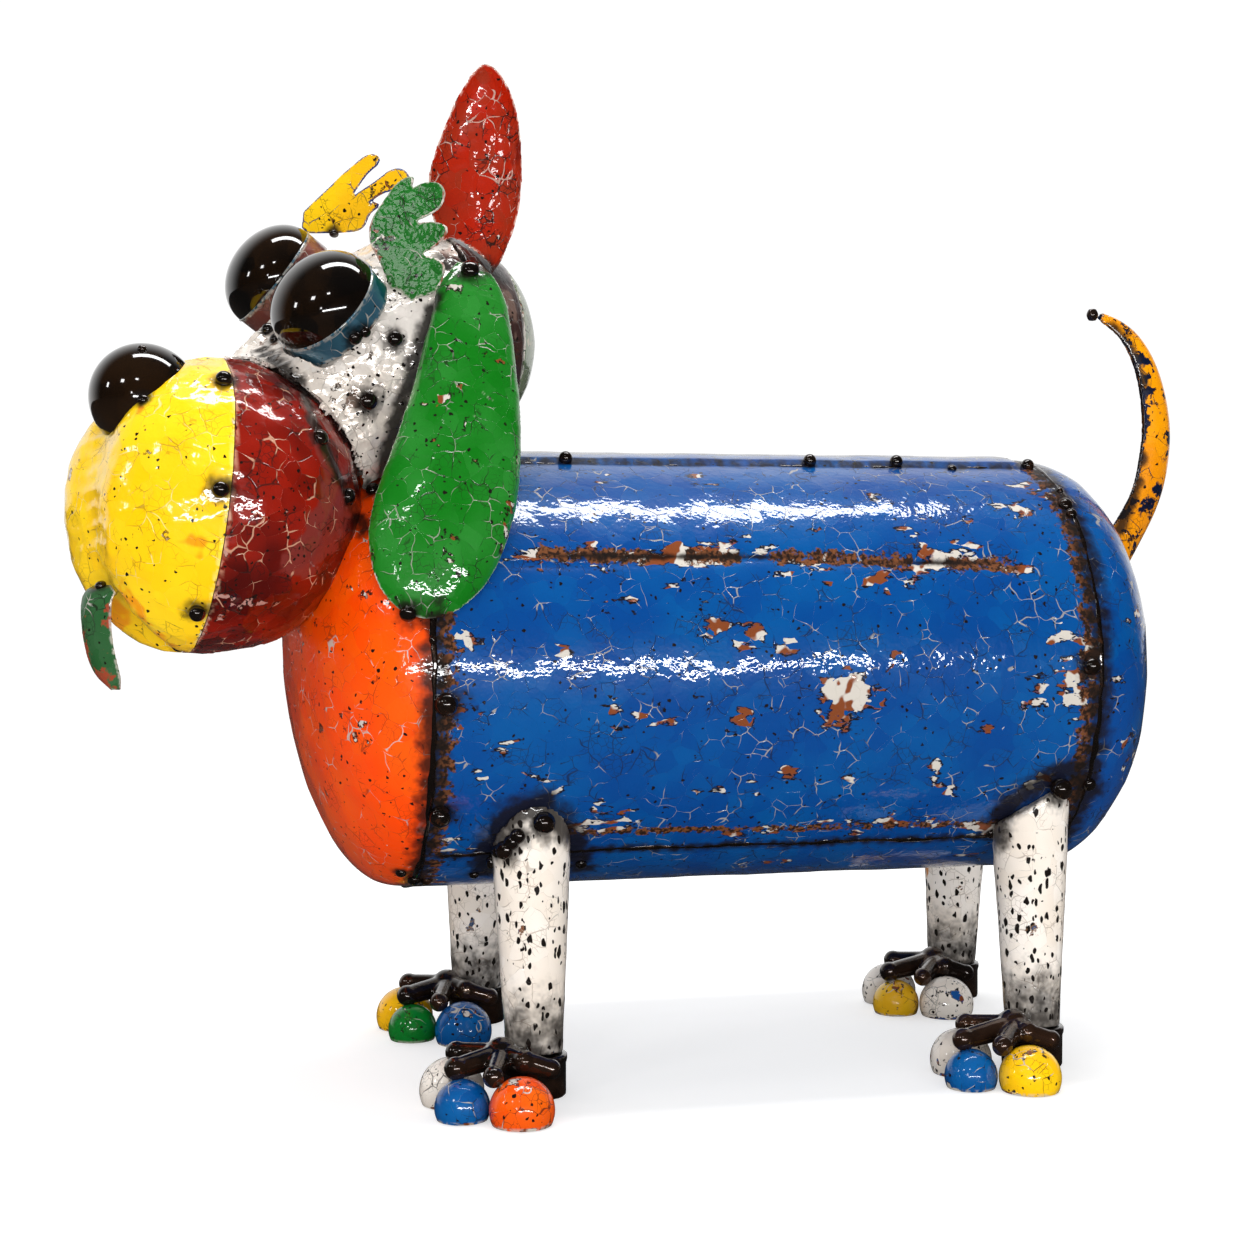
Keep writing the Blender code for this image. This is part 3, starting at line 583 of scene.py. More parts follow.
def start_effect(name: str, inputs: Sequence[str], outputs: Sequence[str]) -> tuple[NodeBench, bpy.types.Node,
                                                                                     bpy.types.Node]:
    """Starts a shared effect: a shader node group with named inputs and outputs.

    Args:
        name: The effect's name.
        inputs: Names of its inputs, where Vector is a vector and the others are numbers.
        outputs: Names of its outputs, where a name that ends in Colour is a colour.

    Returns:
        The bench, the group's input node and its output node.
    """
    tree = bpy.data.node_groups.new(name, "ShaderNodeTree")
    for label in inputs:
        kind = "NodeSocketVector" if label == "Vector" else "NodeSocketFloat"
        tree.interface.new_socket(label, in_out="INPUT", socket_type=kind)
    for label in outputs:
        kind = "NodeSocketColor" if label.endswith("Colour") else "NodeSocketFloat"
        tree.interface.new_socket(label, in_out="OUTPUT", socket_type=kind)
    bench = NodeBench(tree)
    return bench, tree.nodes.new("NodeGroupInput"), tree.nodes.new("NodeGroupOutput")


def build_crackle() -> None:
    """Effect of dried lacquer: broken crack lines round plates of slightly different tone."""
    bench, given, result = start_effect("paint_crackle", ("Vector", "Scale", "Width", "Warp"),
                                        ("Lines", "Cracks", "Plates", "Tilt", "Glints"))
    scale = given.outputs["Scale"]
    bent = bench.warped(given.outputs["Vector"], bench.maths("MULTIPLY", scale, 1.4), given.outputs["Warp"])
    gaps = bench.noise(bent, bench.maths("MULTIPLY", scale, 0.80), 1.0).outputs["Fac"]
    lines = []
    for step, low, high, strength in ((1.0, 0.44, 0.62, 1.0), (2.7, 0.53, 0.64, 0.75)):
        fine = bench.maths("MULTIPLY", scale, step)
        gap = bench.add("ShaderNodeTexVoronoi", {"Vector": bent, "Scale": fine},
                        feature="DISTANCE_TO_EDGE").outputs["Distance"]
        width = bench.maths("MULTIPLY", bench.steps(gaps, low, high, 0.02, 1.0), given.outputs["Width"])
        wide = bench.maths("MULTIPLY", width, step ** 0.5)
        line = bench.steps(gap, bench.maths("MULTIPLY", wide, 0.35), wide, strength, 0.0)
        lines.append(line)
    bench.tree.links.new(bench.maths("MAXIMUM", lines[0], lines[1]), result.inputs["Lines"])
    bench.tree.links.new(lines[0], result.inputs["Cracks"])
    # Glints: painted highlight, pale lines on the cracks where lifted flakes would catch the light
    glint_noise = bench.noise(bent, bench.maths("MULTIPLY", scale, 0.7), 0.0).outputs["Fac"]
    glinting = bench.steps(glint_noise, 0.52, 0.60)
    bench.tree.links.new(bench.maths("MULTIPLY", glinting, lines[0]), result.inputs["Glints"])
    plate = bench.add("ShaderNodeTexVoronoi", {"Vector": bent, "Scale": scale})
    tone = bench.add("ShaderNodeSeparateColor", {0: plate.outputs["Color"]}).outputs[0]
    bench.tree.links.new(tone, result.inputs["Plates"])
    aside = bench.add("ShaderNodeVectorMath", {0: bent, 1: plate.outputs["Position"]}, operation="SUBTRACT")
    leaning = bench.add("ShaderNodeVectorMath", {0: plate.outputs["Color"], 1: (0.5, 0.5, 0.5)},
                        operation="SUBTRACT")
    tilt = bench.add("ShaderNodeVectorMath", {0: aside.outputs[0], 1: leaning.outputs[0]},
                     operation="DOT_PRODUCT")
    bench.tree.links.new(tilt.outputs["Value"], result.inputs["Tilt"])


def build_specks() -> None:
    """Effect of spatter: small scattered blots of uneven size."""
    bench, given, result = start_effect("paint_specks", ("Vector", "Scale", "Size", "Amount"), ("Specks",))
    scale = given.outputs["Scale"]
    reach = bench.maths("DIVIDE", 0.55, scale)
    bent = bench.warped(given.outputs["Vector"], bench.maths("MULTIPLY", scale, 1.6), reach)
    cell = bench.add("ShaderNodeTexVoronoi", {"Vector": bent, "Scale": scale})
    parts = bench.add("ShaderNodeSeparateColor", {0: cell.outputs["Color"]})
    chosen = bench.maths("LESS_THAN", parts.outputs[0], given.outputs["Amount"])
    size = bench.maths("MULTIPLY", given.outputs["Size"], bench.maths("ADD", parts.outputs[1], 0.30))
    blot = bench.steps(cell.outputs["Distance"], bench.maths("MULTIPLY", size, 0.80), size, 1.0, 0.0)
    bench.tree.links.new(bench.maths("MULTIPLY", chosen, blot), result.inputs["Specks"])


def build_chips() -> None:
    """Effect of flaked paint: ragged bare patches that favour the guide, and their dark rims."""
    bench, given, result = start_effect("paint_chips", ("Vector", "Scale", "Amount", "Guide"),
                                        ("Chips", "Rims"))
    vector = given.outputs["Vector"]
    field = bench.noise(vector, given.outputs["Scale"], 5.0, 0.62).outputs["Fac"]
    fine = bench.maths("MULTIPLY", given.outputs["Scale"], 5.0)
    flakes = bench.add("ShaderNodeTexVoronoi", {"Vector": bench.warped(vector, 240.0, 0.004), "Scale": fine})
    parts = bench.add("ShaderNodeSeparateColor", {0: flakes.outputs["Color"]})
    broken = bench.maths("SUBTRACT", parts.outputs[0], 0.5)
    ragged = bench.maths("MULTIPLY_ADD", broken, 0.20, third=field)
    helped = bench.maths("MULTIPLY_ADD", given.outputs["Guide"], 0.16, third=ragged)
    height = bench.maths("ADD", helped, bench.maths("SUBTRACT", given.outputs["Amount"], 1.0))
    chips = bench.steps(height, 0.0, 0.014)
    rims = bench.maths("SUBTRACT", bench.steps(height, -0.030, -0.006), chips, clamp=True)
    bench.tree.links.new(chips, result.inputs["Chips"])
    bench.tree.links.new(rims, result.inputs["Rims"])


def build_weather() -> None:
    """Effect of heat and rain: burnt halos, painted shade and rust, from the marks on the surface."""
    bench, given, result = start_effect("burn_shade_and_rust", ("Vector", "Scorch And Shade", "Rust Mark"),
                                        ("Burn And Shade", "Rust", "Rust Colour"))
    vector = given.outputs["Vector"]
    cloud = bench.noise(vector, 85.0, 2.0, 0.6).outputs["Fac"]
    push = bench.maths("MULTIPLY", bench.maths("SUBTRACT", cloud, 0.5), 0.8)
    bench.tree.links.new(bench.steps(bench.maths("ADD", given.outputs["Scorch And Shade"], push), 0.16, 0.78),
                         result.inputs["Burn And Shade"])
    grit = bench.noise(vector, 120.0, 4.0, 0.65).outputs["Fac"]
    spread = bench.maths("MULTIPLY", bench.maths("SUBTRACT", grit, 0.5), 1.7)
    bench.tree.links.new(bench.steps(bench.maths("ADD", given.outputs["Rust Mark"], spread), 0.52, 0.66),
                         result.inputs["Rust"])
    tone = bench.noise(vector, 260.0, 1.0, 0.6).outputs["Fac"]
    dark = bench.blend(bench.steps(tone, 0.40, 0.62), (0.026, 0.011, 0.006), (0.175, 0.060, 0.021))
    bench.tree.links.new(dark, result.inputs["Rust Colour"])


def tint(red: int, green: int, blue: int) -> Colour:
    """Colour from its screen values, 0 to 255."""
    return tuple((((part / 255.0) + 0.055) / 1.055) ** 2.4 if part > 10 else part / 255.0 / 12.92
                 for part in (red, green, blue))


# Soot black of cracks, spatter and burns, also the colour of the painted shade
SOOT_AND_SHADE = tint(24, 18, 15)
BARE = tint(205, 198, 188)
NAVY = tint(12, 22, 50)
RUSTY = tint(128, 66, 34)


@dataclass(frozen=True)
class Finish:
    """Old glossy coating on scrap metal: crackled, spattered, chipped, burnt and rusty, with painted shade
    and painted highlights.

    Attributes:
        colour: The coating's main colour.
        tone: A second colour that it drifts to.
        patch: Colour of its large patches.
        patch_amount: How much the patches cover, 0 for none.
        patch_scale: Fineness of the patches.
        crack: Colour of the crackle lines.
        crack_scale: Fineness of the crackle.
        crack_width: Width of its lines.
        crack_strength: How much the lines cover the colour.
        chip: Colour under the coating.
        under: A second colour under it.
        chip_scale: Fineness of the chips.
        chip_amount: How readily it chips.
        chip_stretch: How much longer than tall the chips are, along the body.
        speck: Colour of the spatter.
        speck_scale: Fineness of the spatter.
        speck_amount: Share of the spatter's places that are filled.
        speck_size: Size of the blots, as a share of their spacing.
        speck_stretch: How much taller than wide they are.
        edge: Colour of worn edges.
        edge_strength: How worn the edges are.
        metallic: How metallic the coating is.
        roughness: Roughness below the clear coat.
        coat: Strength of the clear coat.
        relief: Strength of the cracks and grain as relief.
        lean: How far each plate of paint leans out of the surface.
        glint: How much of the crackle shows a painted highlight: pale lines along the cracks where lifted
            flakes catch the light.
    """

    colour: Colour
    tone: Colour
    patch: Colour = BARE
    patch_amount: float = 0.0
    patch_scale: float = 9.0
    crack: Colour = SOOT_AND_SHADE
    crack_scale: float = 60.0
    crack_width: float = 0.030
    crack_strength: float = 0.75
    chip: Colour = BARE
    under: Colour = RUSTY
    chip_scale: float = 26.0
    chip_amount: float = 0.30
    chip_stretch: float = 1.0
    speck: Colour = SOOT_AND_SHADE
    speck_scale: float = 230.0
    speck_amount: float = 0.10
    speck_size: float = 0.36
    speck_stretch: float = 1.0
    edge: Colour = BARE
    edge_strength: float = 0.6
    metallic: float = 0.0
    roughness: float = 0.30
    coat: float = 0.9
    relief: float = 0.5
    lean: float = 90.0
    glint: float = 0.75

    def build(self, name: str) -> bpy.types.Material:
        """Makes the material.

        Args:
            name: The material's name.

        Returns:
            The new material.
        """
        material = bpy.data.materials.new(name)
        material.use_nodes = True
        bench = NodeBench(material.node_tree)
        shader = material.node_tree.nodes["Principled BSDF"]
        vector = bench.add("ShaderNodeTexCoord").outputs["Object"]
        edge = bench.add("ShaderNodeAttribute", attribute_name="edge").outputs["Fac"]
        marks = {mark: bench.add("ShaderNodeAttribute", attribute_name=mark.value).outputs["Fac"]
                 for mark in Mark}
        tall = bench.add("ShaderNodeMapping", {"Vector": vector,
                                               "Scale": (1.0, 1.0, 1.0 / self.speck_stretch)})
        crackle = bench.group("paint_crackle", {"Vector": vector, "Scale": self.crack_scale,
                                                "Width": self.crack_width, "Warp": 0.35 / self.crack_scale})
        lines = bench.maths("MULTIPLY", crackle.outputs["Lines"], self.crack_strength)
        drift = bench.noise(vector, 11.0, 2.0, 0.6).outputs["Fac"]
        plates = bench.maths("MULTIPLY", crackle.outputs["Plates"], 0.18)
        share = bench.steps(bench.maths("ADD", drift, plates), 0.42, 0.78)
        paint = bench.blend(share, self.colour, self.tone)
        if self.patch_amount:
            field = bench.noise(tall.outputs[0], self.patch_scale, 4.0, 0.6).outputs["Fac"]
            low = 0.78 - self.patch_amount * 0.55
            paint = bench.blend(bench.steps(field, low, low + 0.035), paint, self.patch)
        paint = bench.blend(lines, paint, self.crack)
        # Painted highlight: the pale worn-edge colour laid along the glinting cracks
        glints = bench.maths("MULTIPLY", crackle.outputs["Glints"], self.glint)
        paint = bench.blend(glints, paint, self.edge)
        specks = bench.group("paint_specks", {"Vector": tall.outputs[0], "Scale": self.speck_scale,
                                              "Size": self.speck_size,
                                              "Amount": self.speck_amount}).outputs["Specks"]
        paint = bench.blend(specks, paint, self.speck)
        long = bench.add("ShaderNodeMapping", {"Vector": vector,
                                               "Scale": (1.0 / self.chip_stretch, 1.0, 1.0)})
        guide = bench.maths("MULTIPLY_ADD", marks[Mark.FLAKED], 1.15, third=edge)
        chips = bench.group("paint_chips", {"Vector": long.outputs[0], "Scale": self.chip_scale,
                                            "Amount": self.chip_amount, "Guide": guide})
        paint = bench.blend(chips.outputs["Rims"], paint, self.crack)
        grain = bench.noise(vector, 190.0, 1.0, 0.6).outputs["Fac"]
        layers = bench.noise(vector, 75.0, 1.0).outputs["Fac"]
        bared = bench.blend(bench.steps(layers, 0.47, 0.54), self.chip, self.under)
        paint = bench.blend(chips.outputs["Chips"], paint, bared)
        worn = bench.maths("MULTIPLY", edge, bench.steps(grain, 0.36, 0.56, 0.0, self.edge_strength))
        paint = bench.blend(worn, paint, self.edge)
        weather = bench.group("burn_shade_and_rust", {"Vector": vector, "Scorch And Shade": marks[Mark.SCORCH_AND_SHADE],
                                                "Rust Mark": marks[Mark.RUST]})
        paint = bench.blend(weather.outputs["Rust"], paint, weather.outputs["Rust Colour"])
        # Darkens to soot: burnt halos and seams, and painted shade in the face's gap, the ear's painted
        # shadow and the tail's hollow
        burn_and_shade = bench.maths("MULTIPLY", weather.outputs["Burn And Shade"], 0.93)
        paint = bench.blend(burn_and_shade, paint, SOOT_AND_SHADE)
        bench.tree.links.new(paint, shader.inputs["Base Color"])
        dull = bench.maths("MULTIPLY", weather.outputs["Rust"], 0.40)
        rough = bench.maths("ADD", bench.maths("MULTIPLY", lines, 0.15), dull)
        rough = bench.maths("ADD", rough, self.roughness, clamp=True)
        clear = bench.maths("SUBTRACT", self.coat, bench.maths("MULTIPLY", dull, 1.6), clamp=True)
        bench.tree.links.new(rough, shader.inputs["Roughness"])
        bench.tree.links.new(clear, shader.inputs["Coat Weight"])
        shader.inputs["Metallic"].default_value = self.metallic
        shader.inputs["Coat Roughness"].default_value = 0.045
        shader.inputs["Specular IOR Level"].default_value = 0.10
        sunk = bench.maths("MULTIPLY", crackle.outputs["Cracks"], 0.8 * self.crack_strength)
        flakes = bench.maths("MULTIPLY", crackle.outputs["Tilt"], self.lean)
        raised = bench.maths("ADD", bench.maths("MULTIPLY", grain, 0.9), flakes)
        height = bench.maths("SUBTRACT", raised, sunk)
        bump = bench.add("ShaderNodeBump", {"Strength": self.relief, "Distance": 0.0006, "Height": height})
        bench.tree.links.new(bump.outputs["Normal"], shader.inputs["Normal"])
        bench.tree.links.new(bump.outputs["Normal"], shader.inputs["Coat Normal"])
        return material


FINISHES = {
    Slot.DRUM: Finish(tint(0, 66, 138), tint(0, 80, 148), crack_strength=0.65, crack_scale=58.0,
                      chip_amount=0.315, chip_scale=26.0, chip_stretch=2.0, speck_amount=0.09, lean=170.0,
                      glint=0.5),
    Slot.CHEST: Finish(tint(250, 72, 0), tint(250, 88, 2), crack_strength=0.45, chip_amount=0.27, lean=40.0),
    Slot.TAIL: Finish(tint(250, 162, 2), tint(240, 146, 2), patch=NAVY, patch_amount=0.30, patch_scale=26.0,
                      chip=NAVY, under=NAVY, chip_amount=0.38, chip_scale=34.0, edge=NAVY,
                      edge_strength=0.8, speck_amount=0.16),
    Slot.MUZZLE_FRONT: Finish(tint(255, 200, 4), tint(255, 212, 24), patch=tint(246, 156, 4),
                              patch_amount=0.34, crack=tint(120, 84, 10), crack_strength=0.55,
                              crack_scale=50.0, crack_width=0.026, chip_amount=0.25, speck_amount=0.09,
                              edge=tint(255, 236, 150), edge_strength=0.5, lean=330.0),
    Slot.MUZZLE_BACK: Finish(tint(74, 8, 4), tint(142, 24, 8), patch=tint(120, 44, 38),
                             patch_amount=0.36, crack_strength=0.7, chip_amount=0.30,
                             chip=tint(176, 130, 120), under=tint(120, 40, 20),
                             speck_amount=0.2, crack_scale=62.0, lean=480.0, crack_width=0.05,
                             edge=tint(215, 160, 130)),
    Slot.TONGUE: Finish(tint(30, 84, 40), tint(56, 96, 60), patch=tint(150, 66, 42), patch_amount=0.40,
                        patch_scale=30.0, chip_amount=0.30, coat=0.35),
    Slot.STEEL_BAND: Finish(tint(70, 112, 134), tint(40, 84, 104), patch=tint(15, 75, 95), patch_amount=0.5,
                            patch_scale=16.0, metallic=0.5, roughness=0.28, chip_amount=0.2,
                            crack_strength=0.3),
    Slot.MAROON_BAND: Finish(tint(104, 58, 52), tint(126, 78, 72), patch=tint(70, 40, 36), patch_amount=0.34,
                             patch_scale=22.0, metallic=0.3, chip_amount=0.26),
    Slot.FACE: Finish(tint(244, 236, 228), tint(228, 216, 204), patch=tint(132, 112, 100), patch_amount=0.28,
                      patch_scale=24.0, crack=tint(70, 58, 50), crack_scale=75.0, crack_strength=0.45,
                      metallic=0.25, roughness=0.24, chip=tint(240, 236, 230), chip_amount=0.27,
                      under=tint(150, 130, 116), speck_amount=0.24, speck_size=0.40, relief=1.0,
                      lean=320.0, glint=0.9),
    Slot.SKULL: Finish(tint(66, 44, 40), tint(50, 32, 30), patch=tint(110, 86, 76), patch_amount=0.26,
                       chip_amount=0.30, speck_amount=0.20),
    Slot.SKULL_BACK: Finish(tint(96, 116, 84), tint(120, 128, 98), patch=tint(168, 156, 126),
                            patch_amount=0.34, patch_scale=16.0, speck_amount=0.24, chip_amount=0.28),
    Slot.GREEN_EAR: Finish(tint(12, 112, 18), tint(40, 128, 44), patch=tint(110, 150, 105),
                           patch_amount=0.16, chip_amount=0.30, edge=tint(205, 212, 190), edge_strength=0.9,
                           speck_amount=0.12, lean=120.0, glint=0.4),
    Slot.RED_EAR: Finish(tint(182, 30, 2), tint(150, 48, 24), patch=tint(120, 24, 12), patch_amount=0.24,
                         chip_amount=0.29, edge=tint(225, 180, 165), edge_strength=0.8,
                         crack_scale=66.0, crack_width=0.045, crack_strength=0.9, lean=420.0),
    Slot.GREEN_BROW: Finish(tint(12, 88, 18), tint(20, 106, 28), patch=tint(60, 120, 62),
                            patch_amount=0.20, patch_scale=30.0, edge_strength=0.5, coat=0.15),
    Slot.YELLOW_BROW: Finish(tint(255, 206, 16), tint(252, 190, 14), chip=tint(20, 50, 110),
                             chip_amount=0.32, edge=tint(24, 60, 120), edge_strength=0.9),
    Slot.LEG: Finish(tint(252, 244, 235), tint(240, 228, 214), patch=tint(206, 140, 84), patch_amount=0.20,
                     patch_scale=20.0, crack=tint(120, 90, 66), crack_strength=0.45, chip=tint(60, 78, 110),
                     chip_amount=0.26, speck_amount=0.62, speck_scale=175.0, speck_size=0.41,
                     speck_stretch=1.7, edge_strength=0.2),
    Slot.ORANGE_TOE: Finish(tint(238, 78, 2), tint(232, 100, 12), speck_amount=0.22, chip_amount=0.30),
    Slot.BLUE_TOE: Finish(tint(2, 72, 140), tint(6, 90, 156), speck_amount=0.22, chip_amount=0.31),
    Slot.WHITE_TOE: Finish(tint(248, 240, 230), tint(236, 224, 210), patch=tint(214, 120, 60),
                           patch_amount=0.20, patch_scale=30.0, speck_amount=0.30, chip=tint(20, 80, 150),
                           chip_amount=0.29, edge_strength=0.2),
    Slot.GREEN_TOE: Finish(tint(8, 118, 38), tint(24, 138, 56), speck_amount=0.22, chip_amount=0.30),
    Slot.YELLOW_TOE: Finish(tint(255, 206, 4), tint(250, 188, 8), speck_amount=0.24, chip_amount=0.30),
    Slot.OCHRE_TOE: Finish(tint(232, 184, 22), tint(220, 160, 30), speck_amount=0.24, chip_amount=0.30),
    Slot.LACQUER: Finish(tint(8, 6, 5), tint(30, 18, 8), crack_strength=0.0, chip_amount=0.0,
                         speck_amount=0.0, edge_strength=0.0, roughness=0.10, coat=1.0, relief=0.02,
                         lean=0.0, glint=0.0),
    Slot.BURNT: Finish(tint(34, 26, 22), tint(74, 50, 36), patch=tint(110, 92, 78), patch_amount=0.16,
                       patch_scale=60.0, crack_strength=0.0, chip_amount=0.0, speck_amount=0.0,
                       edge_strength=0.0, metallic=0.65, roughness=0.24, coat=1.0, relief=0.35,
                       lean=0.0, glint=0.0),
}


class Camera:
    """The photograph's camera, which also gives the line of sight through a pixel of it."""

    def __init__(self) -> None:
        """Works out the camera's axes."""
        drop = math.atan(CAMERA_DROP_PIXELS / FOCAL_PIXELS)
        level = Vector((math.sin(CAMERA_YAW), math.cos(CAMERA_YAW), 0.0))
        self.forward = level * math.cos(drop) - UP * math.sin(drop)
        self.right = Vector((level.y, -level.x, 0.0))
        self.up = self.right.cross(self.forward)

    def ray(self, pixel: Pixel) -> Vector:
        """Direction of the line of sight through a pixel."""
        across, down = (part - IMAGE_SIZE / 2 for part in pixel)
        return (self.forward * FOCAL_PIXELS + self.right * across - self.up * down).normalized()

    def place(self) -> None:
        """Sets up the scene's camera."""
        data = bpy.data.cameras.new("photo_camera")
        data.lens = FOCAL_PIXELS / IMAGE_SIZE * SENSOR_WIDTH
        data.sensor_width = SENSOR_WIDTH
        camera = bpy.data.objects.new("photo_camera", data)
        turn = Matrix((self.right, self.up, -self.forward)).transposed().to_4x4()
        camera.matrix_world = Matrix.Translation(CAMERA_PLACE) @ turn
        bpy.context.scene.collection.objects.link(camera)
        bpy.context.scene.camera = camera


class Workshop:
    """Holds the finishes, the marks of heat and weather with the painted shade among them, and the surfaces
    that are done.
    """

    def __init__(self) -> None:
        """Starts empty."""
        self.camera = Camera()
        self.materials: dict[Slot, bpy.types.Material] = {}
        self.marks: dict[Mark, list[tuple[Vector, float]]] = {mark: [] for mark in Mark}
        self.pieces: list[Piece] = []
        self.skins: list[BVHTree] = []

    def material(self, slot: Slot) -> bpy.types.Material:
        """The slot's material, made when it is first asked for."""
        if slot not in self.materials:
            self.materials[slot] = FINISHES[slot].build(slot.value)
        return self.materials[slot]

    def mark(self, kind: Mark, places: Iterable[Vector], reach: float) -> None:
        """Leaves a mark at each place, which fades over the reach."""
        self.marks[kind] += [(Vector(place), reach) for place in places]

    def dress(self, piece: Piece, slot: Slot, *nodes: str, angle: float = 50.0, skin: bool = True) -> Piece:
        """Finishes a piece and ties it to the part.

        Args:
            piece: The modelled piece.
            slot: The slot of its finish.
            *nodes: Nodes of the part that it stands for.
            angle: Edges sharper than this stay sharp.
            skin: Whether weld balls can sit on it.

        Returns:
            The same piece.
        """
        piece.data.materials.clear()
        piece.data.materials.append(self.material(slot))
        shade(piece, angle)
        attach(piece, BODY)
        if nodes:
            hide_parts(*nodes)
        if skin:
            mesh = piece.data
            self.skins.append(BVHTree.FromPolygons([point.co for point in mesh.vertices],
                                                   [tuple(face.vertices) for face in mesh.polygons]))
        self.pieces.append(piece)
        LOG.info("%s: %d faces", piece.name, len(piece.data.polygons))
        return piece

    def under(self, pixel: Pixel) -> tuple[Vector, Vector] | None:
        """Nearest place on the finished surfaces under a pixel, and its outward normal.

        Args:
            pixel: The pixel of the photograph.

        Returns:
            The place and the normal, or None where nothing is under it.
        """
        ray = self.camera.ray(pixel)
        best = None
        for skin in self.skins:
            place, normal, _, distance = skin.ray_cast(CAMERA_PLACE, ray)
            if place is not None and (best is None or distance < best[0]):
                best = (distance, place, normal if normal.dot(ray) < 0.0 else -normal)
        return (best[1], best[2]) if best else None

    def nearest(self, place: Vector) -> tuple[Vector, Vector]:
        """Nearest place on the finished surfaces, and its outward normal."""
        found = min((skin.find_nearest(place) for skin in self.skins), key=lambda hit: hit[3])
        return found[0], found[1]

    def mark_pixels(self, kind: Mark, pixels: Sequence[Pixel], reach: float, steps: int = 1) -> None:
        """Leaves marks on the surfaces along a line of pixels.

        Args:
            kind: What to leave.
            pixels: Corners of the line.
            reach: How far each mark fades.
            steps: Marks on each stretch between two corners.
        """
        places = []
        for start, end in zip(pixels, (*pixels[1:], pixels[-1])):
            for step in range(steps):
                share = step / steps
                across = start[0] + (end[0] - start[0]) * share
                down = start[1] + (end[1] - start[1]) * share
                found = self.under((across, down))
                if found:
                    places.append(found[0])
        self.mark(kind, places, reach)

    def wear(self) -> None:
        """Writes the marks and the worn edges into each piece as point attributes."""
        for kind, marks in self.marks.items():
            tree = KDTree(len(marks))
            for number, (place, _) in enumerate(marks):
                tree.insert(place, number)
            tree.balance()
            for piece in self.pieces:
                values = np.zeros(len(piece.data.vertices), dtype=np.float32)
                for index, point in enumerate(points_of(piece)):
                    _, number, distance = tree.find(point)
                    values[index] = max(0.0, 1.0 - distance / marks[number][1])
                layer = piece.data.attributes.new(kind.value, "FLOAT", "POINT")
                layer.data.foreach_set("value", values)
        for piece in self.pieces:
            layer = piece.data.attributes.new("edge", "FLOAT", "POINT")
            layer.data.foreach_set("value", sharpness(piece))


def sharpness(piece: Piece) -> np.ndarray:
    """How sharply the surface turns outward at each point of the piece, from 0 to 1.

    Args:
        piece: The piece to read.

    Returns:
        One value for each point.
    """
    mesh = piece.data
    ends = np.empty(len(mesh.edges) * 2, dtype=np.int32)
    mesh.edges.foreach_get("vertices", ends)
    ends = ends.reshape(-1, 2)
    points = points_of(piece)
    normals = normals_of(piece)
    reach = points[ends[:, 1]] - points[ends[:, 0]]
    turn = normals[ends[:, 1]] - normals[ends[:, 0]]
    length = np.linalg.norm(reach, axis=1) + 1e-9
    bend = (reach * turn).sum(axis=1) / length ** 2
    values = np.zeros(len(points), dtype=np.float32)
    np.maximum.at(values, ends[:, 0], bend)
    np.maximum.at(values, ends[:, 1], bend)
    return smooth(values, 150.0, 480.0).astype(np.float32)


def bead(name: str, path: Sequence[Vector], outward: Sequence[Vector], radius: float, seed: int) -> Piece:
    """Lays a weld bead: a bar whose rows are bent onto the path and swollen into overlapping scales.

    Args:
        name: The piece's name.
        path: Points of the path.
        outward: The surface's outward normal at each of them.
        radius: Half the bead's width.
        seed: Seed of its unevenness.

    Returns:
        The new piece.
    """
    spine = np.array([tuple(point) for point in path])
    lift = np.array([tuple(normal) for normal in outward])
    along = np.concatenate(([0.0], np.cumsum(np.linalg.norm(np.diff(spine, axis=0), axis=1))))
    length = float(along[-1])
    bar = add_bar(name, Vector(), UP * length, radius, radius, 10)
    row_up(bar, UP, length * 0.5, int(length / radius * 2.6))
    points = points_of(bar)
    place = np.clip(points[:, 2], 0.0, length)
    centre = np.stack([np.interp(place, along, spine[:, axis]) for axis in range(3)], axis=1)
    normal = np.stack([np.interp(place, along, lift[:, axis]) for axis in range(3)], axis=1)
    normal /= np.linalg.norm(normal, axis=1)[:, None]
    ahead = np.stack([np.interp(np.minimum(place + 0.002, length), along, spine[:, axis])
                      - np.interp(np.maximum(place - 0.002, 0.0), along, spine[:, axis])
                      for axis in range(3)], axis=1)
    ahead /= np.linalg.norm(ahead, axis=1)[:, None]
    side = np.cross(ahead, normal)
    draw = np.random.default_rng(seed)
    scales = draw.uniform(0.70, 1.15, int(length / radius) + 3)
    steps = place / radius
    counts = np.arange(len(scales))
    wave = np.interp(steps, counts, scales) * (0.82 + 0.18 * np.sin(steps * 4.0))
    sway = np.interp(steps, counts, draw.uniform(-0.35, 0.35, len(scales))) * radius
    across = points[:, 0] * wave + sway
    high = points[:, 1] * wave * 0.62
    move_points(bar, centre + side * across[:, None] + normal * high[:, None])
    in_edit(bar)
    bpy.ops.mesh.normals_make_consistent(inside=False)
    out_of_edit()
    return bar


def turned(piece: Piece, direction: Vector, place: Vector) -> Piece:
    """Turns the piece so that its +Z looks along the direction, and moves it to the place.

    Args:
        piece: The piece to turn.
        direction: Where its +Z looks afterwards.
        place: Where its origin goes.

    Returns:
        The same piece.
    """
    turn = direction.to_track_quat("Z", "Y").to_matrix().to_4x4()
    piece.data.transform(Matrix.Translation(place) @ turn)
    piece.data.update()
    return piece


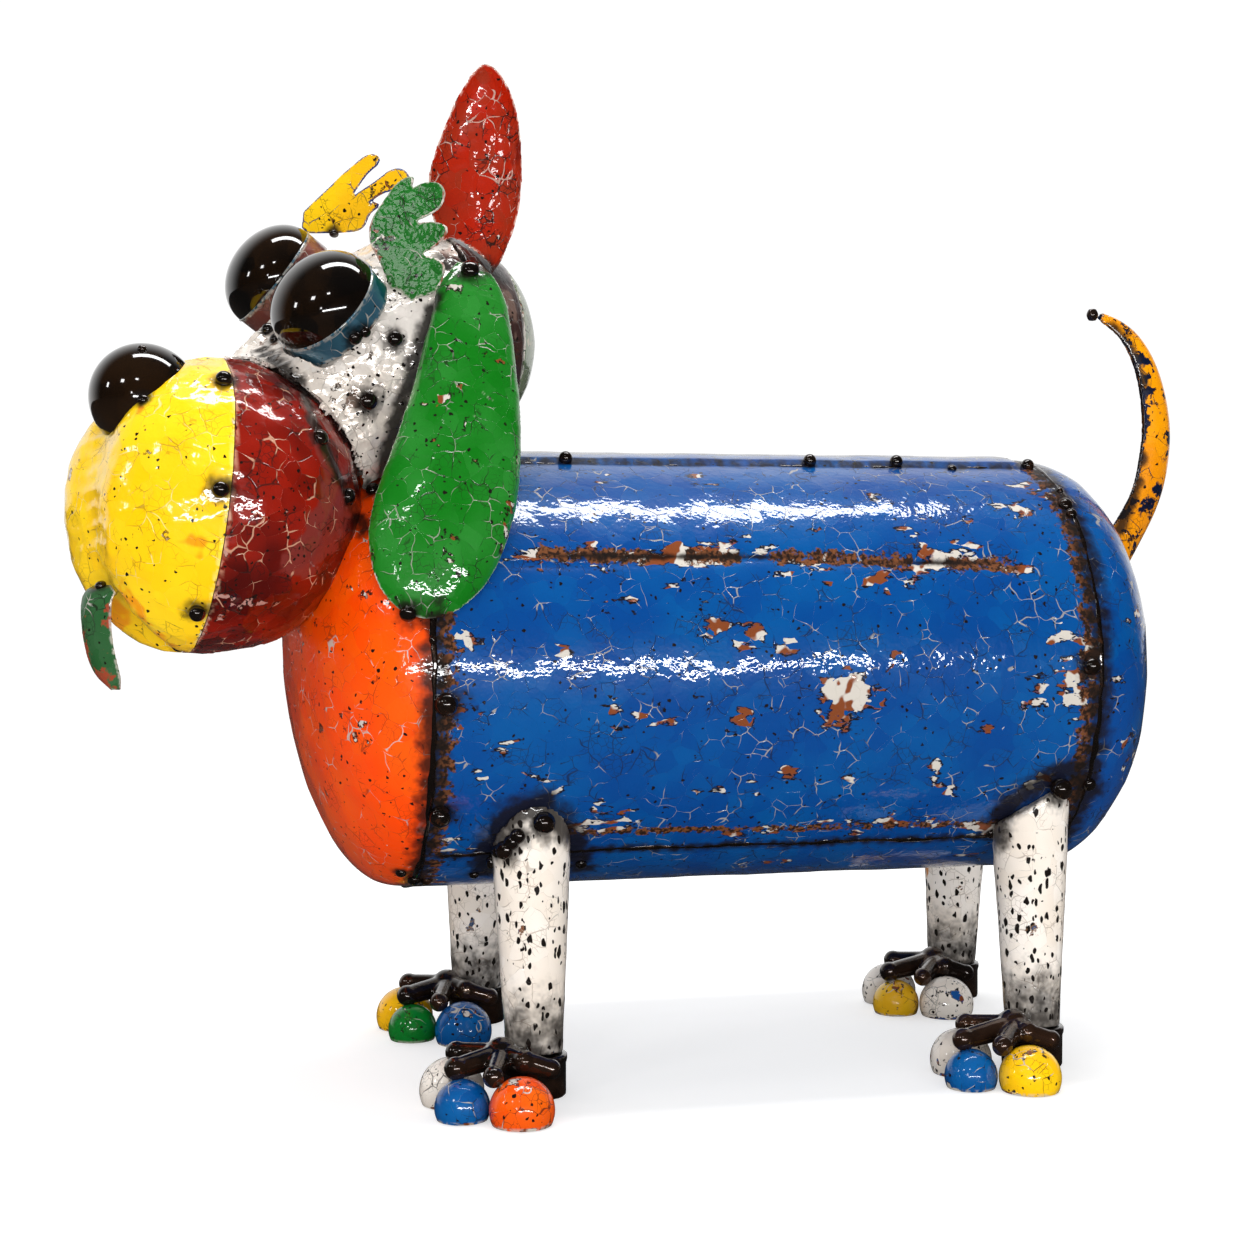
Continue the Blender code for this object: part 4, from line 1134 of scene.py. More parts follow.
@dataclass
class Drum:
    """The rolled body sheet with its folded crease and its welded seams.

    Attributes:
        radius: Radius of the sheet.
        sides: Faces round the drum.
        rows: New rows along it.
        crease_angle: The crease's angle from the top.
        crease_depth: Depth of the crease.
        crease_width: Half width of the crease, in radians.
        lap_height: How far the lapped strip on top stands out.
        lap_angle: Half width of that strip, in radians.
        seams: Angles of the welded seams from the top.
        bead_radius: Half width of the weld beads.
        broad_blows: Spacing and depth of the broad hammer blows.
        small_blows: Spacing and depth of the small ones.
    """

    radius: float = DRUM_RADIUS - 0.0003
    sides: int = 200
    rows: int = 160
    crease_angle: float = math.radians(59.0)
    crease_depth: float = 0.0032
    crease_width: float = 0.030
    lap_height: float = 0.0042
    lap_angle: float = 0.285
    seams: tuple[float, ...] = (math.radians(17.0), math.radians(-17.0), math.radians(141.0))
    bead_radius: float = 0.0034
    broad_blows: tuple[float, float] = (0.058, 0.0009)
    small_blows: tuple[float, float] = (0.022, 0.00022)

    def build(self, shop: Workshop) -> None:
        """Rolls, beats and creases the sheet.

        Args:
            shop: The workshop that dresses the sheet.
        """
        deselect_all()
        bpy.ops.mesh.primitive_cylinder_add(vertices=self.sides, radius=self.radius, depth=DRUM_LENGTH,
                                            location=(DRUM_FRONT + DRUM_REAR) / 2,
                                            rotation=(0.0, math.pi / 2, 0.0))
        sheet = settle("drum_sheet")
        row_up(sheet, Vector((1.0, 0.0, 0.0)), DRUM_LENGTH * 0.5, self.rows)
        hammer(sheet, *self.broad_blows, 3)
        hammer(sheet, *self.small_blows, 4)
        points = points_of(sheet)
        around = np.arctan2(-(points[:, 1] - DRUM_FRONT.y), points[:, 2] - DRUM_FRONT.z)
        run = points[:, 0] - DRUM_FRONT.x
        bent = self.crease_angle + 0.012 * np.sin(run * 17.0) + 0.006 * np.sin(run * 61.0)
        fold = np.exp(-((around - bent) / self.crease_width) ** 2)
        fold *= smooth(run, 0.02, 0.09) * (1.0 - smooth(run, 0.50, 0.58))
        lap = 1.0 - smooth(np.abs(around), self.lap_angle, self.lap_angle + 0.015)
        lap *= smooth(run, 0.0, 0.02) * (1.0 - smooth(run, 0.585, 0.6))
        raise_points(sheet, self.lap_height * lap - self.crease_depth * fold)
        shop.dress(sheet, Slot.DRUM, "body_drum", angle=60.0)

    def skin_point(self, run: float, angle: float) -> tuple[Vector, Vector]:
        """Place on the drum at a distance from its front and an angle from its top, and the normal."""
        normal = Vector((0.0, -math.sin(angle), math.cos(angle)))
        return DRUM_FRONT + Vector((run, 0.0, 0.0)) + normal * (self.radius - 0.0012), normal

    def weld(self, shop: Workshop) -> None:
        """Lays the beads along the seams and round both ends.

        Args:
            shop: The workshop that dresses the beads.
        """
        beads = []
        for number, angle in enumerate(self.seams):
            spots = [self.skin_point(step / 40 * DRUM_LENGTH, angle + 0.006 * math.sin(step * 0.9))
                     for step in range(1, 40)]
            beads.append(bead(f"seam_{number}", *zip(*spots), self.bead_radius, number))
            shop.mark(Mark.SCORCH_AND_SHADE, (place for place, _ in spots), 0.014)
        for number, run in enumerate((0.0, DRUM_LENGTH)):
            spots = [self.skin_point(run, math.radians(step * 5)) for step in range(73)]
            beads.append(bead(f"end_{number}", *zip(*spots), self.bead_radius * 1.1, 10 + number))
            shop.mark(Mark.SCORCH_AND_SHADE, (place for place, _ in spots), 0.024)
            inner = 0.010 if number == 0 else -0.010
            shop.mark(Mark.RUST, (place + Vector((inner, 0.0, 0.0)) for place, _ in spots), 0.021)
        lap = [self.skin_point(step * 0.02, math.radians(turn))[0] for step in range(31)
               for turn in (-7, 0, 7)]
        shop.mark(Mark.SCORCH_AND_SHADE, lap, 0.022)
        shop.dress(joined("drum_weld_beads", beads), Slot.BURNT, skin=False)


@dataclass
class DomedEnd:
    """Half of a beaten ball, drawn to its depth, that closes one end of the drum.

    Attributes:
        name: The piece's name.
        node: The node that it stands for.
        slot: The slot of its finish.
        rim: Middle of its open rim.
        direction: 1 towards the tail, -1 towards the nose.
        depth: How deep it is drawn.
        lift: How far its crown is raised.
        seed: Seed of the hammer's blows.
        blows: Their spacing and depth.
    """

    name: str
    node: str
    slot: Slot
    rim: Vector
    direction: float
    depth: float
    lift: float
    seed: int
    blows: tuple[float, float] = (0.050, 0.0018)

    def build(self, shop: Workshop) -> None:
        """Draws out and beats the dome.

        Args:
            shop: The workshop that dresses the dome.
        """
        deselect_all()
        bpy.ops.mesh.primitive_uv_sphere_add(segments=160, ring_count=96, radius=1.0,
                                             rotation=(0.0, math.pi / 2, 0.0))
        dome = settle(self.name)
        cut_flat(dome, Vector(), Vector((self.direction, 0.0, 0.0)))
        unit = points_of(dome)
        crown = np.abs(unit[:, 0])
        shaped = np.stack((self.rim.x + self.direction * (self.depth * crown ** 0.88 + 0.0003),
                           self.rim.y + DRUM_RADIUS * 0.998 * unit[:, 1],
                           self.rim.z + DRUM_RADIUS * 0.998 * unit[:, 2] + self.lift * crown ** 2), axis=1)
        move_points(dome, shaped)
        hammer(dome, *self.blows, self.seed)
        shop.dress(dome, self.slot, self.node, angle=60.0)


@dataclass
class Muzzle:
    """The jowled ball in two beaten halves that meet at a slanting seam.

    Attributes:
        radius: Radius of the ball.
        crease_depth: Depth of the crease down its front.
        crease_width: Half width of the crease.
        wrinkle_depth: Depth of the wrinkles in the crease.
        jowl_swell: How far the jowls swell.
        seam_forward: How far the seam is before the middle.
        half_gap: Half the gap at the seam.
        seam_normal: The seam's direction.
        broad_blows: Spacing and depth of the broad hammer blows.
        small_blows: Spacing and depth of the small ones.
    """

    radius: float = 0.1300
    crease_depth: float = 0.016
    crease_width: float = math.radians(17.0)
    wrinkle_depth: float = 0.0013
    jowl_swell: float = 0.010
    seam_forward: float = 0.0115
    half_gap: float = 0.0004
    seam_normal: Vector = gaze(math.radians(8.0), math.radians(7.5))
    broad_blows: tuple[float, float] = (0.046, 0.0030)
    small_blows: tuple[float, float] = (0.020, 0.0013)

    def build(self, shop: Workshop) -> None:
        """Swells and creases the ball, beats it and parts it at the seam.

        Args:
            shop: The workshop that dresses the halves.
        """
        ball = add_ball("muzzle_form", 1.0, 264, 160)
        unit = points_of(ball)
        forward = unit @ np.array(HEAD_AXIS)
        sideways = unit @ np.array(HEAD_SIDE)
        swing = np.arctan2(sideways, forward)
        front = smooth(forward, -0.05, 0.50)
        crease = np.exp(-((swing / self.crease_width) ** 2)) * front
        low = np.maximum(0.0, -unit[:, 2]) * front
        skin = self.radius - self.crease_depth * crease + self.jowl_swell * low * (1.0 - 0.5 * crease)
        wrinkle = np.sin(unit[:, 2] * 46.0 + np.sin(swing * 9.0) * 1.6)
        wrinkle = wrinkle * np.exp(-((swing / 0.30) ** 2)) * front
        skin = skin - self.wrinkle_depth * (0.5 + 0.5 * wrinkle)
        move_points(ball, np.array(MUZZLE_CENTRE) + unit * skin[:, None])
        hammer(ball, *self.broad_blows, 20)
        hammer(ball, *self.small_blows, 21)
        back = copied("muzzle_rear_half", ball, Vector())
        seam = MUZZLE_CENTRE + self.seam_normal * self.seam_forward
        gap = self.seam_normal * self.half_gap
        cut_flat(ball, seam + gap, self.seam_normal)
        cut_flat(back, seam - gap, -self.seam_normal)
        ball.name = "muzzle_front_half"
        shop.dress(ball, Slot.MUZZLE_FRONT, "muzzle_front", angle=60.0)
        shop.dress(back, Slot.MUZZLE_BACK, "muzzle_back", angle=60.0)


@dataclass
class Nose:
    """The lacquered cap at the top of the crease, with its weld.

    Attributes:
        radius: Radius of the cap.
        height: Height of the cap.
        seat: Distance from the muzzle's middle to the cap's base.
    """

    radius: float = 0.0462
    height: float = 0.0478
    seat: float = 0.110

    def build(self, shop: Workshop) -> None:
        """Domes the cap and lays its weld.

        Args:
            shop: The workshop that dresses the cap.
        """
        cap = add_ball("nose_cap", 1.0, 96, 64)
        cut_flat(cap, Vector((0.0, 0.0, -0.25)), UP)
        points = points_of(cap)
        move_points(cap, points * np.array((self.radius, self.radius, self.height)))
        looking = gaze(HEAD_YAW, math.radians(44.0))
        centre = MUZZLE_CENTRE + gaze(HEAD_YAW, math.radians(55.0)) * self.seat
        turned(cap, looking, centre)
        shop.dress(cap, Slot.LACQUER, "nose")
        collar = self.collar(looking, centre)
        shop.dress(collar, Slot.BURNT, skin=False)
        shop.mark(Mark.SCORCH_AND_SHADE, (centre,), 0.030)

    def collar(self, looking: Vector, centre: Vector) -> Piece:
        """Melted ring where the cap is welded to the muzzle.

        Args:
            looking: The cap's axis.
            centre: The middle of its base.

        Returns:
            The weld bead.
        """
        side = looking.cross(UP).normalized()
        top = side.cross(looking)
        spots = []
        for step in range(61):
            turn = math.tau * step / 60
            outward = side * math.cos(turn) + top * math.sin(turn)
            spots.append((centre - looking * 0.010 + outward * self.radius * 0.97, outward))
        return bead("nose_weld", *zip(*spots), 0.0030, 31)


@dataclass
class Eye:
    """A lacquered dome in a thin bright rim, on its short collar.

    Attributes:
        name: The eye's name.
        centre: Middle of its rim.
        axis: Where it looks.
        slot: The slot of its collar.
        radius: Radius of the dome.
        height: Height of the dome.
        collar_length: Length of the collar.
    """

    name: str
    centre: Vector
    axis: Vector
    slot: Slot
    radius: float = 0.0508
    height: float = 0.0398
    collar_length: float = 0.0216

    def build(self, shop: Workshop) -> None:
        """Builds the collar, the rim and the dome.

        Args:
            shop: The workshop that dresses the eye.
        """
        back = self.centre - self.axis * self.collar_length
        collar = add_bar(f"{self.name}_collar_ring", back, self.centre, self.radius, self.radius, 128)
        row_up(collar, self.axis, self.collar_length * 0.5, 12)
        shop.dress(collar, self.slot, f"{self.name}_collar", angle=40.0)
        deselect_all()
        bpy.ops.mesh.primitive_torus_add(major_segments=128, minor_segments=12, major_radius=self.radius,
                                         minor_radius=0.0011)
        rim = turned(settle(f"{self.name}_rim"), self.axis, self.centre)
        shop.dress(rim, Slot.STEEL_BAND, skin=False)
        dome = add_ball(f"{self.name}_dome", 1.0, 128, 80)
        cut_flat(dome, Vector(), UP)
        move_points(dome, points_of(dome) * np.array((self.radius, self.radius, self.height)))
        turned(dome, self.axis, self.centre + self.axis * 0.0004)
        shop.dress(dome, Slot.LACQUER, f"{self.name}_ball")


@dataclass
class Sheet:
    """A piece of sheet that keeps the part's own form, with a fine skin and its beaten relief.

    Attributes:
        name: The piece's name.
        node: The node that it stands for.
        slot: The slot of its finish.
        grain: Size of its fine faces.
        levels: Times that it is subdivided.
        dents: Distance between the hammer's blows, 0 for none.
        dent_depth: Depth of the blows.
        waves: Size of the random relief, 0 for none.
        wave_depth: Depth of that relief.
    """

    name: str
    node: str
    slot: Slot
    grain: float = 0.0013
    levels: int = 2
    dents: float = 0.0
    dent_depth: float = 0.0
    waves: float = 0.0
    wave_depth: float = 0.0

    def build(self, shop: Workshop) -> None:
        """Refines, beats and dresses the sheet.

        Args:
            shop: The workshop that dresses the sheet.
        """
        piece = refined(self.name, self.node, self.grain, self.levels)
        if self.dents:
            hammer(piece, self.dents, self.dent_depth, len(self.node))
        if self.waves:
            ripple(piece, self.waves, self.wave_depth)
        shop.dress(piece, self.slot, self.node, angle=60.0)


@dataclass
class Foot:
    """A melted-looking ankle cuff with its claw rods, holding three half-ball toes.

    Attributes:
        name: The foot's name.
        ankle: Middle of the cuff's base.
        places: Each toe's place from the ankle, across the floor.
        colours: Each toe's slot.
        arc_shift: How far the bent rod is moved to the tail.
        radii: Each toe's radius.
        flat: Height of a toe's middle, as a share of its radius.
        cuff_height: Height of the cuff.
        cuff_radius: Radius of the cuff.
    """

    name: str
    ankle: Vector
    places: tuple[tuple[float, float], ...]
    colours: tuple[Slot, ...]
    arc_shift: float = 0.0
    radii: tuple[float, ...] = (0.0275, 0.0235, 0.0280)
    flat: float = 0.42
    cuff_height: float = 0.0355
    cuff_radius: float = 0.0278

    def build(self, shop: Workshop) -> None:
        """Builds the toes, then the claw that holds them.

        Args:
            shop: The workshop that dresses the foot.
        """
        for number, (place, radius, slot) in enumerate(zip(self.places, self.radii, self.colours), 1):
            ball = add_ball(f"{self.name}_toe_ball_{number}", radius * 0.998, 56, 32)
            cut_flat(ball, Vector((0.0, 0.0, -self.flat * radius)), UP)
            middle = self.ankle + Vector((*place, self.flat * radius + 0.0001))
            ball.data.transform(Matrix.Translation(middle))
            shop.dress(ball, slot, f"{self.name}_toe_{number}", angle=40.0)
        self.build_claw(shop)
        shop.mark(Mark.SCORCH_AND_SHADE, (self.ankle + UP * 0.046,), 0.078)

    def rod(self, start: Place, end: Place, radius: float, end_radius: float) -> Piece:
        """A rod with a round end between two points about the ankle.

        Args:
            start: Its first end, from the ankle.
            end: Its second end, from the ankle.
            radius: Radius at the start.
            end_radius: Radius at the end.

        Returns:
            The rod.
        """
        first = self.ankle + Vector(start)
        last = self.ankle + Vector(end)
        bar = add_bar("rod", first, last, radius, end_radius, 20)
        return joined("rod", [bar, add_ball("rod_end", end_radius * 1.12, 20, 12, last)])

    def build_claw(self, shop: Workshop) -> None:
        """Joins the cuff, the hub and the rods, and melts them together.

        Args:
            shop: The workshop that dresses the claw.
        """
        cuff = add_bar("cuff", self.ankle, self.ankle + UP * self.cuff_height, self.cuff_radius,
                       self.cuff_radius, 48)
        rim = add_bar("cuff_rim", self.ankle + UP * 0.0305, self.ankle + UP * 0.0365, 0.0290, 0.0286, 48)
        first, second, third = self.places
        hub = (-0.036, -0.037, 0.045)
        bend = (-0.021 + self.arc_shift, -0.062, 0.0440)
        # From the cuff to the hub, from the hub to two toes, along the bent rod, and to the third toe
        rods = [self.rod((-0.016, -0.010, 0.031), hub, 0.0145, 0.0135),
                self.rod(hub, (second[0] - 0.004, second[1] + 0.008, 0.0405), 0.0104, 0.0092),
                self.rod(hub, (third[0] + 0.004, third[1] - 0.002, 0.0440), 0.0100, 0.0090),
                self.rod((-0.036, -0.038, 0.045), bend, 0.0100, 0.0090),
                self.rod(bend, (0.002 + self.arc_shift, -0.062, 0.0360), 0.0090, 0.0080),
                self.rod((-0.040, -0.050, 0.043), (first[0] - 0.022, first[1] + 0.010, 0.0380), 0.0094,
                         0.0084)]
        claw = joined(f"{self.name}_claw", [cuff, rim, *rods])
        weave_even(claw, 0.0016, 3)
        shop.dress(claw, Slot.BURNT, f"{self.name}_ankle", angle=60.0)


@dataclass(frozen=True)
class Stroke:
    """A line of the photograph along which heat, weather or painted shade marks the dog.

    Attributes:
        kind: What it leaves.
        pixels: Corners of the line.
        reach: How far each mark fades.
        steps: Marks on each stretch between two corners.
    """

    kind: Mark
    pixels: tuple[Pixel, ...]
    reach: float
    steps: int


@dataclass
class WeldHeads:
    """The round heads of hard lacquered weld metal on the seams and joints.

    Attributes:
        nodes: The bolts and heads of the part.
        pixels: Place in the photograph and radius of each small head.
        halo: Reach of the burnt halo, in radii of the head.
    """

    nodes: tuple[str, ...]
    pixels: tuple[tuple[float, float, float], ...]
    halo: float = 3.1

    def build(self, shop: Workshop) -> None:
        """Puts a rounded head over each bolt of the part, and the small ones by the photograph.

        Args:
            shop: The workshop that dresses the heads.
        """
        for node in self.nodes:
            low, high = (Vector(corner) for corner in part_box(node))
            radius = max(high - low) / 2
            seat, normal = shop.nearest((low + high) / 2)
            middle = seat + normal * radius * 0.25
            head = add_ball(f"{node}_head", radius, 28, 18, middle)
            shop.mark(Mark.SCORCH_AND_SHADE, (middle,), radius * self.halo)
            shop.dress(head, Slot.BURNT, node, skin=False)
        ball = add_ball("small_weld_heads", 1.0, 20, 12)
        heads = []
        for across, down, radius in self.pixels:
            found = shop.under((across, down))
            if found is None:
                LOG.warning("nothing under pixel %s, %s", across, down)
                continue
            place, normal = found
            head = copied("small_head", ball, Vector())
            head.data.transform(Matrix.Diagonal((radius, radius, radius * 0.72, 1.0)))
            turned(head, normal, place + normal * radius * 0.18)
            heads.append(head)
            shop.mark(Mark.SCORCH_AND_SHADE, (place,), radius * self.halo)
        bpy.data.objects.remove(ball)
        shop.dress(joined("small_weld_heads", heads), Slot.BURNT, skin=False)


class Studio:
    """The pale studio: floor, softboxes and surroundings."""

    def build(self, shop: Workshop) -> None:
        """Sets up the camera, the floor, the lights and the world.

        Args:
            shop: The workshop that holds the camera.
        """
        shop.camera.place()
        self.floor()
        for number, (place, size, power) in enumerate(EYE_LIGHTS):
            self.softbox(f"spark_{number}", place, HEAD_CENTRE, size, power)
        for name, place, target, size, power in STRIP_LIGHTS:
            self.softbox(name, place, target, size, power)
        self.world()

    def floor(self) -> None:
        """Lays the wide pale floor."""
        deselect_all()
        bpy.ops.mesh.primitive_plane_add(size=30.0, location=(0.0, 0.0, -0.0004))
        floor = settle("studio_floor")
        material = bpy.data.materials.new("studio_paper")
        material.use_nodes = True
        shader = material.node_tree.nodes["Principled BSDF"]
        bench = NodeBench(material.node_tree)
        path = bench.add("ShaderNodeLightPath")
        paper = bench.blend(path.outputs["Is Glossy Ray"], (0.60, 0.60, 0.60), (0.03, 0.03, 0.03))
        bench.tree.links.new(paper, shader.inputs["Base Color"])
        glow = bench.maths("MULTIPLY_ADD", path.outputs["Is Camera Ray"], 0.54, third=0.0)
        bench.tree.links.new(glow, shader.inputs["Emission Strength"])
        shader.inputs["Roughness"].default_value = 0.9
        shader.inputs["Specular IOR Level"].default_value = 0.0
        shader.inputs["Emission Color"].default_value = (1.0, 1.0, 1.0, 1.0)
        floor.data.materials.append(material)

    def softbox(self, name: str, place: Vector, target: Vector, size: tuple[float, float],
                power: float) -> None:
        """Hangs a rectangular light.

        Args:
            name: The light's name.
            place: Its middle.
            target: The point that it faces.
            size: Its width and height.
            power: Its power in watts.
        """
        data = bpy.data.lights.new(name, "AREA")
        data.shape = "RECTANGLE"
        data.size, data.size_y = size
        data.energy = power
        lamp = bpy.data.objects.new(name, data)
        turn = (place - target).to_track_quat("Z", "Y").to_matrix().to_4x4()
        lamp.matrix_world = Matrix.Translation(place) @ turn
        bpy.context.scene.collection.objects.link(lamp)

    def world(self) -> None:
        """Surrounds the scene with white behind it, and with a darker room on the camera's side."""
        world = bpy.data.worlds.new("studio_room")
        world.use_nodes = True
        bench = NodeBench(world.node_tree)
        background = world.node_tree.nodes["Background"]
        direction = bench.add("ShaderNodeTexCoord").outputs["Generated"]
        parts = bench.add("ShaderNodeSeparateXYZ", {0: direction})
        fill = bench.maths("ADD", bench.steps(parts.outputs["Y"], -0.25, 0.75, 0.24, 1.0),
                           bench.steps(parts.outputs["Z"], 0.15, 0.9, 0.0, 0.55))
        gloss = bench.maths("ADD", bench.steps(parts.outputs["Y"], 0.20, 0.75, 0.012, 0.9),
                            bench.steps(parts.outputs["Z"], 0.2, 0.95, 0.0, 0.02))
        path = bench.add("ShaderNodeLightPath")
        room = bench.add("ShaderNodeMix", {0: path.outputs["Is Diffuse Ray"], 2: gloss, 3: fill}).outputs[0]
        strength = bench.add("ShaderNodeMix", {0: path.outputs["Is Camera Ray"], 2: room, 3: 1.06}).outputs[0]
        bench.tree.links.new(strength, background.inputs["Strength"])
        background.inputs["Color"].default_value = (1.0, 1.0, 1.0, 1.0)
        bpy.context.scene.world = world
        bpy.context.scene.view_settings.view_transform = "Standard"



# The sparks in the eyes, by place, size and power, and the strips, by name, place, target, size and power
EYE_LIGHTS = ((Vector((-2.4, -1.8, 2.0)), (0.34, 0.30), 7.0), (Vector((-1.2, -2.6, 2.4)), (0.30, 0.18), 5.0),
              (Vector((-2.9, -0.4, 1.4)), (0.20, 0.34), 4.0), (Vector((-1.6, -2.4, 0.9)), (0.12, 0.16), 1.5))
STRIP_LIGHTS = (("overhead_strip", Vector((0.05, 0.10, 2.5)), Vector((0.05, 0.0, 0.4)), (1.9, 0.30), 34.0),
                ("front_panel", Vector((-0.2, -3.3, 0.55)), Vector((0.0, 0.0, 0.45)), (3.2, 0.15), 66.0))

# Where the feet stand, from the point between the front ankles, and the toes' places from each ankle
STANCE = 0.150
REAR_LEG_X = 0.469
FAR_REAR_X = 0.513
REAR_ARC_SHIFT = -0.012
FRONT_TOES = ((-0.029, -0.094), (-0.0745, -0.067), (-0.075, -0.0145))
REAR_TOES = ((-0.043, -0.091), (-0.0890, -0.068), (-0.077, -0.0160))

EYES = (Eye("left_eye", HEAD_CENTRE + Vector((-0.0978, -0.100, 0.0233)),
            gaze(HEAD_YAW + math.radians(13.0), math.radians(36.0)), Slot.STEEL_BAND),
        Eye("right_eye", HEAD_CENTRE + Vector((-0.1316, 0.030, 0.0626)),
            gaze(HEAD_YAW - math.radians(13.0), math.radians(36.0)), Slot.MAROON_BAND))

SHEETS = (Sheet("face_sheet", "face", Slot.FACE, 0.0020, 2, 0.024, 0.0022, 0.014, 0.0042),
          Sheet("skull_band", "head_band", Slot.SKULL, 0.0022, 2, 0.040, 0.0012),
          Sheet("skull_rear_dome", "head_back_dome", Slot.SKULL_BACK, 0.0022, 2, 0.040, 0.0012),
          Sheet("hanging_ear", "left_ear", Slot.GREEN_EAR, 0.0014, 2, 0.026, 0.0011),
          Sheet("upright_ear", "right_ear", Slot.RED_EAR, 0.0014, 2, 0.020, 0.0011),
          Sheet("near_brow", "left_brow", Slot.GREEN_BROW, 0.0011),
          Sheet("far_brow", "right_brow", Slot.YELLOW_BROW, 0.0009),
          Sheet("tail_tube", "tail", Slot.TAIL, 0.0014),
          Sheet("tongue_strip", "tongue", Slot.TONGUE, 0.0010),
          Sheet("tail_tip_ball", "tail_tip", Slot.BURNT, 0.0006),
          *(Sheet(f"{corner}_leg_tube", f"{corner}_leg", Slot.LEG, 0.0022, 2, 0.030, 0.0007)
            for corner in ("front_left", "front_right", "rear_left", "rear_right")))

WHITE, BLUE, GREEN = Slot.WHITE_TOE, Slot.BLUE_TOE, Slot.GREEN_TOE
YELLOW, ORANGE, OCHRE = Slot.YELLOW_TOE, Slot.ORANGE_TOE, Slot.OCHRE_TOE
FEET = (Foot("front_left", LAYOUT + Vector((0.0, -STANCE, 0.0)), FRONT_TOES, (ORANGE, BLUE, WHITE)),
        Foot("front_right", LAYOUT + Vector((0.0, STANCE, 0.0)), FRONT_TOES, (BLUE, GREEN, YELLOW)),
        Foot("rear_left", LAYOUT + Vector((REAR_LEG_X, -STANCE, 0.0)), REAR_TOES, (YELLOW, BLUE, WHITE),
             REAR_ARC_SHIFT),
        Foot("rear_right", LAYOUT + Vector((FAR_REAR_X, STANCE, 0.0)), REAR_TOES, (WHITE, OCHRE, WHITE),
             REAR_ARC_SHIFT))

DOMES = (DomedEnd("chest_shell", "chest_dome", Slot.CHEST, DRUM_FRONT, -1.0, 0.110, 0.036, 8),
         DomedEnd("rump_shell", "rump_dome", Slot.DRUM, DRUM_REAR, 1.0, 0.103, 0.0, 9))

HEADS = WeldHeads(
    nodes=("chest_bolt_left_1", "chest_bolt_left_2", "chest_bolt_right_1", "chest_bolt_right_2",
           "rump_bolt_left", "rump_bolt_right", "top_seam_bolt_1", "top_seam_bolt_2", "top_seam_bolt_3",
           "top_seam_bolt_4", "muzzle_bolt_1", "muzzle_bolt_2", "muzzle_bolt_3", "muzzle_bolt_4",
           "front_left_leg_bolt", "rear_left_leg_bolt"),
    pixels=((368, 401, 0.0085), (395, 339, 0.0070), (355, 338, 0.0060), (365, 332, 0.0050),
            (326, 243, 0.0045), (334, 233, 0.0045), (352, 250, 0.0050), (268, 329, 0.0055),
            (275, 339, 0.0050), (320, 438, 0.0075), (348, 497, 0.0075), (470, 270, 0.0085),
            (408, 613, 0.0075), (373, 490, 0.0065), (142, 349, 0.0040), (143, 400, 0.0050),
            (126, 667, 0.0045), (101, 586, 0.0050), (498, 851, 0.0060), (581, 863, 0.0055),
            (474, 874, 0.0045), (1089, 784, 0.0065), (991, 833, 0.0055), (952, 469, 0.0045),
            (1065, 505, 0.0070), (1071, 514, 0.0055), (1060, 492, 0.0050), (518, 836, 0.0070),
            (146, 652, 0.0045), (434, 640, 0.0050), (505, 850, 0.0085), (492, 862, 0.0060),
            (512, 842, 0.0070), (414, 879, 0.0060), (426, 880, 0.0050), (401, 872, 0.0050)))

# Lines and places of the photograph that are rusty, burnt, flaked or darkened with painted shade, in its
# pixels
CREASE_LINE = ((500, 552), (620, 556), (760, 558), (900, 561), (1020, 566))
CREASE_RUST = (((545, 553), (640, 557)), ((690, 556), (735, 558)), ((778, 556), (905, 562)),
               ((950, 564), (1010, 566)))
# Painted shade: the first line darkens a gap on the face's near side, the second is the hanging ear's painted
# shadow on the face
PAINTED_SHADE_LINES = (((262, 350), (300, 385), (322, 440), (345, 490), (364, 530)),
              ((436, 300), (418, 350), (402, 400), (388, 450), (380, 480)))
LOWER_LINE = ((571, 832), (750, 829), (996, 822))
LEG_TOPS = (((484, 872), (488, 845), (510, 812), (542, 803), (574, 838), (582, 868)),
            ((998, 838), (1001, 812), (1030, 788), (1075, 768), (1092, 792)))
EAR_BACK = ((448, 262), (470, 262), (500, 275))
# Painted shade down the hollow side of the tail, which is not cut deep
TAIL_HOLLOW = ((1112, 329), (1129, 350), (1140, 380), (1144, 420), (1141, 460), (1131, 500), (1120, 528))
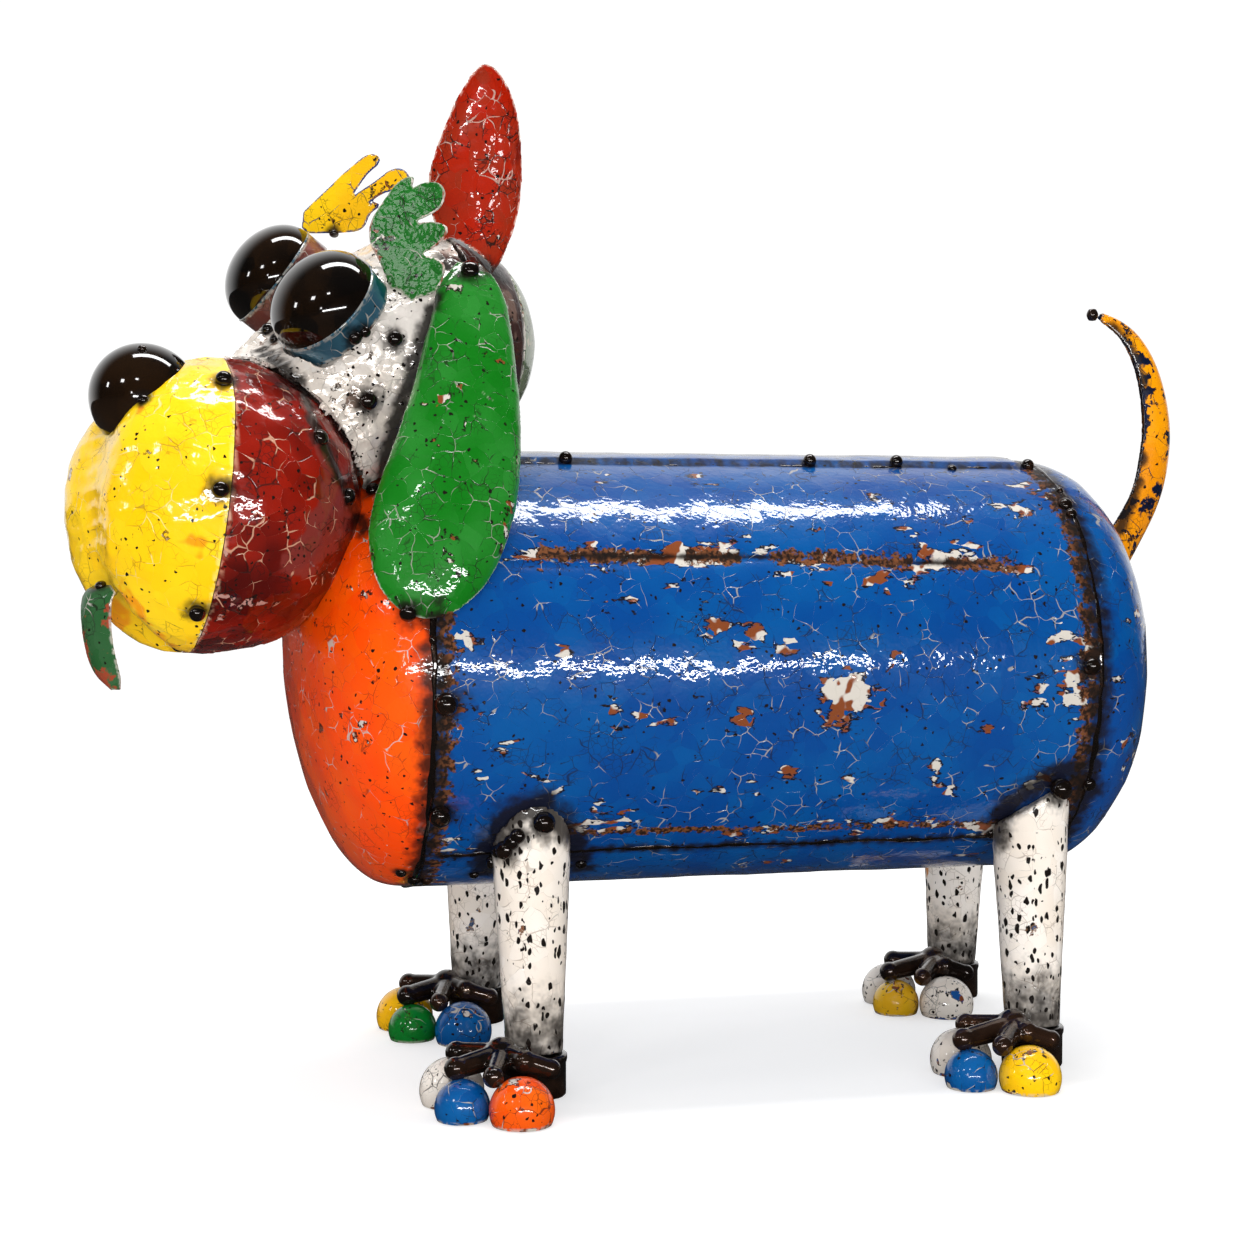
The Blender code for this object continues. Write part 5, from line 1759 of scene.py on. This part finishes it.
FLAKED_PLACES = ((712, 628, 0.030), (745, 645, 0.030), (790, 650, 0.022), (705, 690, 0.026),
                 (745, 715, 0.030),
                 (820, 690, 0.030), (855, 688, 0.038), (835, 712, 0.026), (940, 766, 0.022), (690, 672, 0.02),
                 (560, 655, 0.020), (640, 655, 0.020), (900, 655, 0.024), (1060, 630, 0.026),
                 (1080, 655, 0.030), (965, 520, 0.024), (1030, 515, 0.022), (545, 555, 0.030),
                 (600, 560, 0.026), (780, 560, 0.036), (830, 555, 0.034), (870, 562, 0.026),
                 (930, 560, 0.026), (1000, 562, 0.026), (450, 640, 0.026), (515, 745, 0.018),
                 (460, 530, 0.02), (740, 835, 0.026), (860, 828, 0.028), (790, 770, 0.018))

STROKES = (*(Stroke(Mark.RUST, stretch, 0.017, 12) for stretch in CREASE_RUST),
           Stroke(Mark.SCORCH_AND_SHADE, CREASE_LINE, 0.0042, 60),
           Stroke(Mark.RUST, LOWER_LINE, 0.0105, 26),
           *(Stroke(Mark.SCORCH_AND_SHADE, line, 0.015, 8) for line in PAINTED_SHADE_LINES),
           Stroke(Mark.SCORCH_AND_SHADE, TAIL_HOLLOW, 0.013, 16),
           *(Stroke(Mark.SCORCH_AND_SHADE, line, 0.026, 6) for line in LEG_TOPS),
           Stroke(Mark.SCORCH_AND_SHADE, EAR_BACK, 0.020, 8),
           *(Stroke(Mark.FLAKED, ((across, down),), reach, 1) for across, down, reach in FLAKED_PLACES),
           Stroke(Mark.FLAKED, CREASE_LINE, 0.022, 16),
           Stroke(Mark.FLAKED, LOWER_LINE, 0.018, 16))


def main() -> None:
    """Builds the dog and its studio."""
    logging.basicConfig(level=logging.INFO, format="%(message)s")
    for build in (build_crackle, build_specks, build_chips, build_weather):
        build()
    shop = Workshop()
    drum = Drum()
    for part in (drum, *DOMES, Muzzle(), Nose(), *EYES, *SHEETS, *FEET):
        part.build(shop)
    drum.weld(shop)
    HEADS.build(shop)
    for stroke in STROKES:
        shop.mark_pixels(stroke.kind, stroke.pixels, stroke.reach, stroke.steps)
    shop.wear()
    Studio().build(shop)


if __name__ == "__main__":
    main()
